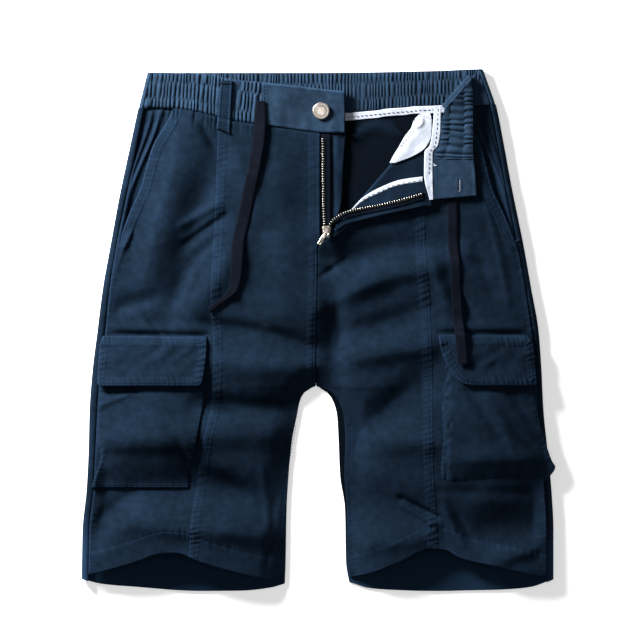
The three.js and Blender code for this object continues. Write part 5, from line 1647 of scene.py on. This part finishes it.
class Metal:
    """Button, zip slider and pull tab."""

    BUTTON = (2.5, 219.0, 11.1)
    SLIDER = (8.0, 98.0, 19.45)
    PULL = (7.5, 97.0, 22.8)
    TURN = -np.arctan2(6.0, 10.0)

    def __init__(self, shorts: Shorts) -> None:
        self.shorts = shorts

    def _piece(self, name: str, parts: Sequence[tuple[Array, Array]], place: Sequence[float], node: str,
               turn: float = 0.0, body: str = "shorts") -> None:
        """Joins closed forms in mm into one turned and placed object."""
        points, quads = [], []
        base = 0
        for form, faces in parts:
            points.append(form)
            quads.append(faces + base)
            base += len(form)
        form = np.concatenate(points)
        c, s = np.cos(turn), np.sin(turn)
        turned = np.column_stack((form[:, 0] * c - form[:, 1] * s, form[:, 0] * s + form[:, 1] * c, form[:, 2]))
        item = make_mesh(name, (turned + np.array(place)) * MM, np.concatenate(quads))
        self.shorts.workshop.finish(item, Finish.METAL, (node,), body=body)

    def _button(self) -> None:
        """Tack button: rolled rim, flat ring, a groove and a low bare dome."""
        profile = ((0.01, 0.0), (2.6, 0.0), (2.6, 1.2), (7.6, 1.3), (8.3, 1.6), (8.6, 2.1), (8.5, 2.7), (8.1, 3.1),
                   (7.5, 3.3), (6.9, 3.32), (6.5, 3.2), (6.2, 3.16), (5.8, 3.24), (5.2, 3.36), (4.4, 3.46), (3.0, 3.56),
                   (1.5, 3.61), (0.01, 3.63))
        self._piece("button_metal", [revolve(profile, 56)], self.BUTTON, "button")

    def _slider(self) -> None:
        """Zip slider: bevelled body with its channel, and two lugs with a crossbar on top."""
        body = rounded(((-3.0, -6.0), (3.0, -6.0), (4.6, 4.5), (3.6, 6.0), (-3.6, 6.0), (-4.6, 4.5)), 1.0)
        lower = slab(body, ((6, 0.0), (0.5, 0.0), (0.0, 0.35), (0.0, 0.8), (0.6, 0.95), (6, 0.95)))
        waist = slab(body * 0.62, ((6, 0.6), (0.0, 0.6), (0.0, 2.3), (6, 2.3)))
        upper = slab(body, ((6, 2.0), (0.6, 2.0), (0.0, 2.15), (0.0, 2.55), (0.5, 2.95), (6, 3.05)))
        parts = [lower, waist, upper]
        c, s = np.cos(self.TURN), np.sin(self.TURN)
        middle = np.array((self.PULL[0] - self.SLIDER[0], self.PULL[1] - self.SLIDER[1]))
        for side in (-1.0, 1.0):
            outline = rounded(((-0.45, -1.1), (0.45, -1.1), (0.45, 1.1), (-0.45, 1.1)), 0.3)
            form, faces = slab(outline, ((3, 2.9), (0.0, 2.9), (0.0, 4.2), (0.25, 4.6), (3, 4.65)))
            shift = side * 2.6
            x, y = form[:, 0] + shift, form[:, 1].copy()
            form = np.column_stack((x * c - y * s + middle[0], x * s + y * c + middle[1], form[:, 2]))
            parts.append((form, faces))
        turn = np.arange(12) * 2 * np.pi / 12
        rings = []
        for reach, radius in ((-2.7, 0.02), (-2.7, 0.4), (2.7, 0.4), (2.7, 0.02)):
            y, z = radius * np.cos(turn), 3.95 + radius * np.sin(turn)
            rings.append(np.column_stack((reach * c - y * s + middle[0], reach * s + y * c + middle[1], z)))
        index = np.arange(48).reshape(4, 12)
        after = np.roll(index, -1, axis=1)
        quads = np.stack((index[:-1], after[:-1], after[1:], index[1:]), -1).reshape(-1, 4)
        parts.append((np.concatenate(rings), quads))
        self._piece("zip_slider_metal", parts, self.SLIDER, "zip_slider")

    def _pull(self) -> None:
        """Pull tab: tapered plate with bevelled edges, a long eye at its end and a loop on the bar."""
        outer = rounded(((-1.4, -0.2), (-2.1, -5.0), (-1.9, -14.0), (1.9, -14.0), (2.1, -5.0), (1.4, -0.2)), 0.9, 7)
        middle = np.array((0.0, -11.2))
        angle = np.arctan2(outer[:, 1] - middle[1], outer[:, 0] - middle[0])
        hole = middle + np.column_stack((0.85 * np.cos(angle), 1.35 * np.sin(angle)))
        rings = [
            np.column_stack((hole, np.full(len(outer), 0.15))),
            np.column_stack((middle + (outer - middle) * 0.97, np.full(len(outer), 0.1))),
            np.column_stack((outer, np.full(len(outer), 0.35))),
            np.column_stack((outer, np.full(len(outer), 0.85))),
            np.column_stack((middle + (outer - middle) * 0.95, np.full(len(outer), 1.1))),
            np.column_stack((middle + (hole - middle) * 1.2, np.full(len(outer), 1.1))),
            np.column_stack((hole, np.full(len(outer), 0.9))),
            np.column_stack((hole, np.full(len(outer), 0.15))),
        ]
        index = np.arange(len(rings) * len(outer)).reshape(len(rings), len(outer))
        after = np.roll(index, -1, axis=1)
        quads = np.stack((index[:-1], after[:-1], after[1:], index[1:]), -1).reshape(-1, 4)
        self._piece("pull_tab_metal", [(np.concatenate(rings), quads)], self.PULL, "zip_pull", self.TURN, "pull_tab")

    def make(self) -> None:
        """Makes the metal parts."""
        self._button()
        self._slider()
        self._pull()


@dataclass(frozen=True)
class PocketPlan:
    """Plan of one cargo pocket in mm on the sheet."""

    side: str
    bag: Table
    flap: Table
    flap_node: str
    bag_node: str
    puff: float
    gusset: float = 0.0
    folds: tuple[Fold, ...] = ()
    gape: float = 2.0


POCKETS = (
    PocketPlan("right", Table("d start stop", (
        (392, 99, 205.5), (425, 97.5, 200), (440, 97, 197), (455, 101, 194), (470, 97, 188), (488, 91, 189),
    )), Table("d start stop", (
        (336, 102.5, 207), (345, 100, 207), (383, 97.5, 202.5), (386, 99, 201),
    )), "cargo_flap_right", "cargo_bag_right", 3.8, folds=(
        Fold((98, 390, 134, 388), 6, -4.0, lean=-0.4),
        Fold((99, 407, 128, 394), 3, 2.0),
        Fold((100, 446, 196, 446), 9, 2.2, lean=-0.5),
        Fold((104, 452, 92, 488), 3, 1.2),
        Fold((150, 400, 164, 440), 7, 1.2),
        Fold((178, 440, 196, 484), 4, -2.2),
    )),
    PocketPlan("left", Table("d start stop", (
        (392, 441, 533), (430, 441.5, 542), (450, 441, 548), (461, 440.5, 552), (467, 440.5, 555.5),
        (478, 440, 549), (481, 442, 547),
    )), Table("d start stop", (
        (335, 438.5, 528), (345, 439.5, 533), (365, 447, 535), (383, 462, 536.5), (385.5, 472, 533),
    )), "cargo_flap_left", "cargo_bag_left", 4.6, 10.0, (
        Fold((470, 392, 500, 436), 5, -2.8, lean=0.4),
        Fold((506, 388, 534, 426), 5, -2.4),
        Fold((486, 396, 512, 440), 7, 2.2),
        Fold((452, 460, 548, 457), 9, 3.0, lean=-0.5),
        Fold((450, 487, 546, 483), 13, -4.0, bow=2, lean=0.2),
        Fold((530, 448, 552, 468), 4, -2.0),
    )),
)


class Cargo:
    """One cargo pocket: a bag with a flap over it, both lying on the front."""

    REST = 0.8

    def __init__(self, shorts: Shorts, plan: PocketPlan) -> None:
        self.shorts = shorts
        self.lay = shorts.lay
        self.plan = plan
        self.bag_edge = Seam(self._outline(plan.bag, 6.0), (1.5,), 3.0, lift=0.12, pucker=0.35,
                             period=5.5, seed=51)
        self.flap_edge = Seam(self._outline(plan.flap, 4.0), (1.6, 5.8), 7.0, pucker=0.5, period=5.0, seed=52)
        top = float(plan.flap.key[0])
        ends = (float(plan.flap.read("start", top)), float(plan.flap.read("stop", top)))
        self.flap_top = Seam(Track((ends[0], top), (sum(ends) / 2, top + 0.4), (ends[1], top + 1.5)),
                             (-1.8, -7.0), -8.5, pucker=0.35, period=5.0, seed=53)

    @staticmethod
    def _outline(table: Table, step: float) -> Track:
        """Free edge of a patch: down its left side, along the bottom and up its right side."""
        first, last = float(table.key[0]), float(table.key[-1])
        down = np.linspace(first + 3, last - 2.5, max(4, int((last - first) / step)))
        left = list(zip(table.read("start", down), down))
        right = list(zip(table.read("stop", down[::-1]), down[::-1]))
        bottom = np.linspace(float(table.read("start", last)) + 5, float(table.read("stop", last)) - 5, 7)
        return Track(*left, *zip(bottom, np.full(7, last)), *right)

    def _on_front(self, table: Table, a: Array, d: Array, puff: float) -> Array:
        """Height of a patch that rests on the front and swells towards its middle."""
        start, stop = table.read("start", d), table.read("stop", d)
        first, last = table.key[0], table.key[-1]
        u = np.clip((a - start) / (stop - start), 0.0, 1.0)
        v = np.clip((d - first) / (last - first), 0.0, 1.0)
        swell = np.maximum(0.0, np.sin(np.pi * u) * np.sin(np.pi * v)) ** 0.6
        within = np.clip(a, SIDES.read("left", d) + SIDE_ROLL, SIDES.read("right", d) - SIDE_ROLL)
        return self.lay.front(within, d) + self.REST + 1.6 + puff * swell

    def bag_height(self, a: Array, d: Array) -> Array:
        """Face of the bag, with the crumpled gusset beside it on the wearer's left."""
        z = self._on_front(self.plan.bag, a, d, self.plan.puff)
        if self.plan.gusset:
            beyond = a - self.plan.bag.read("start", d)
            inside = smooth(self.plan.gusset, 0.0, beyond)
            crumple = self.lay.fine.at(a / 3.6, d / 4.6) + 0.6 * self.lay.broad.at(a / 6.0, d / 8.0)
            z = z - 2.8 * inside + 1.3 * crumple * bell(beyond - self.plan.gusset / 2, self.plan.gusset / 2)
        for fold in self.plan.folds:
            z = z + fold.height(a, d)
        return z

    def flap_height(self, a: Array, d: Array) -> Array:
        """Face of the flap, which lies over the top of the bag."""
        first = self.plan.flap.key[0] + 8
        over = smooth(first - 7, first, d) * 1.95
        bag = self.plan.bag
        u = np.clip((a - bag.read("start", d)) / (bag.read("stop", d) - bag.read("start", d)), 0.0, 1.0)
        v = np.clip((d - bag.key[0]) / (bag.key[-1] - bag.key[0]), 0.0, 1.0)
        swell = self.plan.puff * np.maximum(0.0, np.sin(np.pi * u) * np.sin(np.pi * v)) ** 0.6
        lift = 2.8 * smooth(362, 386, d) + self.plan.gape * bell(a - 116, 18.0) * smooth(372, 386, d)
        creases = 1.0 * self.lay.broad.at(a / 11.0 + d / 16.0, d / 13.0) * bell(d - 360.0, 17.0)
        return self._on_front(self.plan.flap, a, d, 1.2) + over + swell + lift + creases

    def make(self) -> None:
        """Makes the bag and the flap with their stitches."""
        plan = self.plan
        first = plan.flap.key[0] + 8
        last = plan.bag.key[-1]
        v = spaced(last - first, 1.5, 0.7, 2.0, 8.0)[:, None]
        u = spaced(100.0, 1.5, 0.7, 12.0, 9.0)[None, :]
        d = mix(first, last, v + 0 * u)
        hidden = smooth(392, 380, d) * 4
        a = mix(plan.bag.read("start", d) + hidden, plan.bag.read("stop", d) - hidden, u)
        away = np.minimum(np.minimum(u, 1 - u) * 100, (1 - v) * (last - first))
        bag = self.shorts.with_seams(self.bag_height, (self.bag_edge,))
        z, wear_and_painted_light = bag(a, d)
        item = make_cloth(f"{plan.bag_node}_cloth", [Shell.lying(a, d, z - edge_drop(away, 1.5), CLOTH, wear_and_painted_light)])
        self.shorts.workshop.finish(item, Finish.TWILL, (plan.bag_node,), lining=Finish.INSIDE)
        self.shorts.sew("cargo", self.bag_edge, lambda x, y: bag(x, y)[0], 6.0, self.bag_edge.track.length - 6.0)
        first, last = plan.flap.key[0], plan.flap.key[-1]
        v = spaced(last - first, 1.2, 0.7, 8.0, 8.0)[:, None]
        d = mix(first, last, v + 0 * u)
        a = mix(plan.flap.read("start", d), plan.flap.read("stop", d), u)
        away = np.minimum(np.minimum(u, 1 - u) * 100, np.minimum(v, 1 - v) * (last - first))
        flap = self.shorts.with_seams(self.flap_height, (self.flap_edge, self.flap_top))
        z, wear_and_painted_light = flap(a, d)
        item = make_cloth(f"{plan.flap_node}_cloth", [Shell.lying(a, d, z - edge_drop(away, 1.2), CLOTH, wear_and_painted_light)])
        self.shorts.workshop.finish(item, Finish.TWILL, (plan.flap_node,), lining=Finish.INSIDE)
        for seam in (self.flap_edge, self.flap_top):
            self.shorts.sew("cargo", seam, lambda x, y: flap(x, y)[0], 2.0, seam.track.length - 2.0)


@dataclass(frozen=True)
class CordPlan:
    """Route of a free drawcord end: (a, d, width) in mm on the sheet."""

    node: str
    stations: tuple[tuple[float, float, float], ...]
    width: float
    length: float
    hump: float = 0.0


CORDS = (
    CordPlan("drawcord_right", (
        (260.5, 101, 10), (260.3, 112, 11), (259.5, 130, 12), (256, 158, 12), (250, 188, 12), (244.5, 215, 12),
        (238, 245, 12), (236.5, 270, 12), (234, 288, 9), (226, 297, 6), (216, 305, 5), (209, 310.5, 5),
    ), 0.012, 0.224, 3.4),
    CordPlan("drawcord_left", (
        (452, 186, 10), (452.3, 205, 10), (452.5, 235, 10), (455, 265, 10), (456.5, 300, 10), (458, 322, 10),
        (460.5, 342, 10), (462, 364, 10),
    ), 0.010, 0.180),
)


class Drawcord:
    """A flat woven drawcord end that lies free on the front."""

    THICK = 1.5

    def __init__(self, shorts: Shorts, plan: CordPlan) -> None:
        self.shorts = shorts
        self.lay = shorts.lay
        self.plan = plan

    def _under(self, a: Array, d: Array) -> Array:
        """Face that the cord lies on."""
        if self.plan.node == "drawcord_right":
            seam = WAIST.read("seam", a)
            return self.lay.front(a, d) + smooth(seam + 18, seam + 6, d) * (BAND_RISE + 0.5)
        return self.lay.front(a, d) + 7.6 * smooth(322, 336, d)

    def make(self) -> None:
        """Makes the tape with ribbed faces and rounded edges."""
        stations = np.array(self.plan.stations)
        chord = np.concatenate(([0.0], np.cumsum(np.hypot(*np.diff(stations[:, :2], axis=0).T))))
        table = Table("s a d wide", np.column_stack((chord, stations)))
        s = np.linspace(0.0, chord[-1], 190)
        a, d, wide = (table.read(name, s) for name in ("a", "d", "wide"))
        ta, td = np.gradient(a, s), np.gradient(d, s)
        size = np.hypot(ta, td)
        ta, td = ta / size, td / size
        levels = [self._under(a + k * td * wide / 2, d - k * ta * wide / 2) for k in (-1.0, 0.0, 1.0)]
        base = np.maximum.reduce(levels) + 0.5
        kernel = np.hanning(13)
        padded = np.pad(base, 6, mode="edge")
        base = np.maximum(base, np.convolve(padded, kernel / kernel.sum(), mode="valid"))
        base = base + self.plan.hump * bell(s - 46.0, 24.0)
        across = np.concatenate(([-1.0, -0.97, -0.9], np.linspace(-0.75, 0.75, 9), [0.9, 0.97, 1.0]))
        edge = np.sqrt(np.clip(1 - np.abs(across) ** 6, 0.0, 1.0))
        curl = 0.35 * np.sin(s / 23.0)[:, None] * across[None, :]
        rib = 0.09 * np.sin(2 * np.pi * s / 1.8)[:, None] * (np.abs(across) < 0.92)[None, :]
        top = base[:, None] + self.THICK * (0.5 + 0.5 * edge)[None, :] + rib + curl
        low = base[:, None] + self.THICK * (0.5 - 0.5 * edge)[None, :] + curl
        grid_a = a[:, None] + across[None, :] * (wide * td / 2)[:, None]
        grid_d = d[:, None] - across[None, :] * (wide * ta / 2)[:, None]
        uv = np.stack(np.broadcast_arrays((across * 6 * MM)[None, :], (s * MM)[:, None]), -1)
        shell = Shell(np.stack((grid_a, grid_d, top), -1), np.stack((grid_a, grid_d, low - 0.02), -1), uv=uv)
        item = make_cloth(f"{self.plan.node}_tape", [shell])
        self.shorts.workshop.finish(item, Finish.CORD, (self.plan.node,))
        route = to_world(np.stack((a, d, base + self.THICK / 2), -1))[::6]


class Stage:
    """Camera, light and floor."""

    def make(self) -> None:
        """Makes the stage."""
        self._camera()
        self._lights()
        self._floor()

    @staticmethod
    def _camera() -> None:
        """Camera straight above, with the waist at the top of the picture."""
        data = bpy.data.cameras.new("camera")
        data.lens = LENS
        data.sensor_width = SENSOR
        camera = bpy.data.objects.new("camera", data)
        camera.location = (CAMERA_X, CAMERA_Y, CAMERA_HEIGHT)
        bpy.context.scene.collection.objects.link(camera)
        bpy.context.scene.camera = camera

    @staticmethod
    def _lights() -> None:
        """Soft key from the upper left, a dim one overhead for the metal, and a pale surrounding."""
        for name, place, size, power in (
            ("key_light", (-0.86, 0.8, 0.52), 0.38, 73.0),
            ("top_light", (0.0, 0.3, 4.4), 2.0, 20.0),
        ):
            data = bpy.data.lights.new(name, "AREA")
            data.shape = "DISK"
            data.size = size
            data.energy = power
            light = bpy.data.objects.new(name, data)
            light.location = place
            light.rotation_euler = (-Vector(place)).to_track_quat("-Z", "Y").to_euler()
            bpy.context.scene.collection.objects.link(light)
        world = bpy.data.worlds.new("studio")
        world.use_nodes = True
        background = world.node_tree.nodes["Background"]
        background.inputs["Color"].default_value = (1.0, 1.0, 1.0, 1.0)
        background.inputs["Strength"].default_value = 0.17
        bpy.context.scene.world = world
        bpy.context.scene.view_settings.view_transform = "Standard"

    @staticmethod
    def _floor() -> None:
        """Plain pale floor, lit a little from below as a studio's light table is, so that shadows stay faint."""
        nodes = NodeTree("pale_floor")
        nodes.feed("Base Color", linear("#fcfcfd"))
        nodes.feed("Emission Color", linear("#ffffff"))
        nodes.feed("Emission Strength", 0.45)
        nodes.feed("Roughness", 0.9)
        size = 6.0
        points = np.array(((-size, -size, 0.0), (size, -size, 0.0), (size, size, 0.0), (-size, size, 0.0)))
        floor = make_mesh("floor", points - np.array((0.0, 0.0, 0.0004)), np.array(((0, 1, 2, 3),)), None, None)
        floor.data.materials.append(nodes.material)


def main() -> None:
    """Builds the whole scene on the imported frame."""
    logging.basicConfig(level=logging.INFO, format="%(message)s")
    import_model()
    Stage().make()
    shorts = Shorts()
    for plan in CORDS:
        Drawcord(shorts, plan).make()
    Body(shorts).make()
    Bands(shorts).make()
    Corner(shorts).make()
    Fly(shorts).make()
    for plan in POCKETS:
        Cargo(shorts, plan).make()
    Metal(shorts).make()
    shorts.stitching.make(shorts.workshop, {"bindings": Finish.DARK_THREAD, "light": Finish.COTTON})


if __name__ == "__main__":
    main()
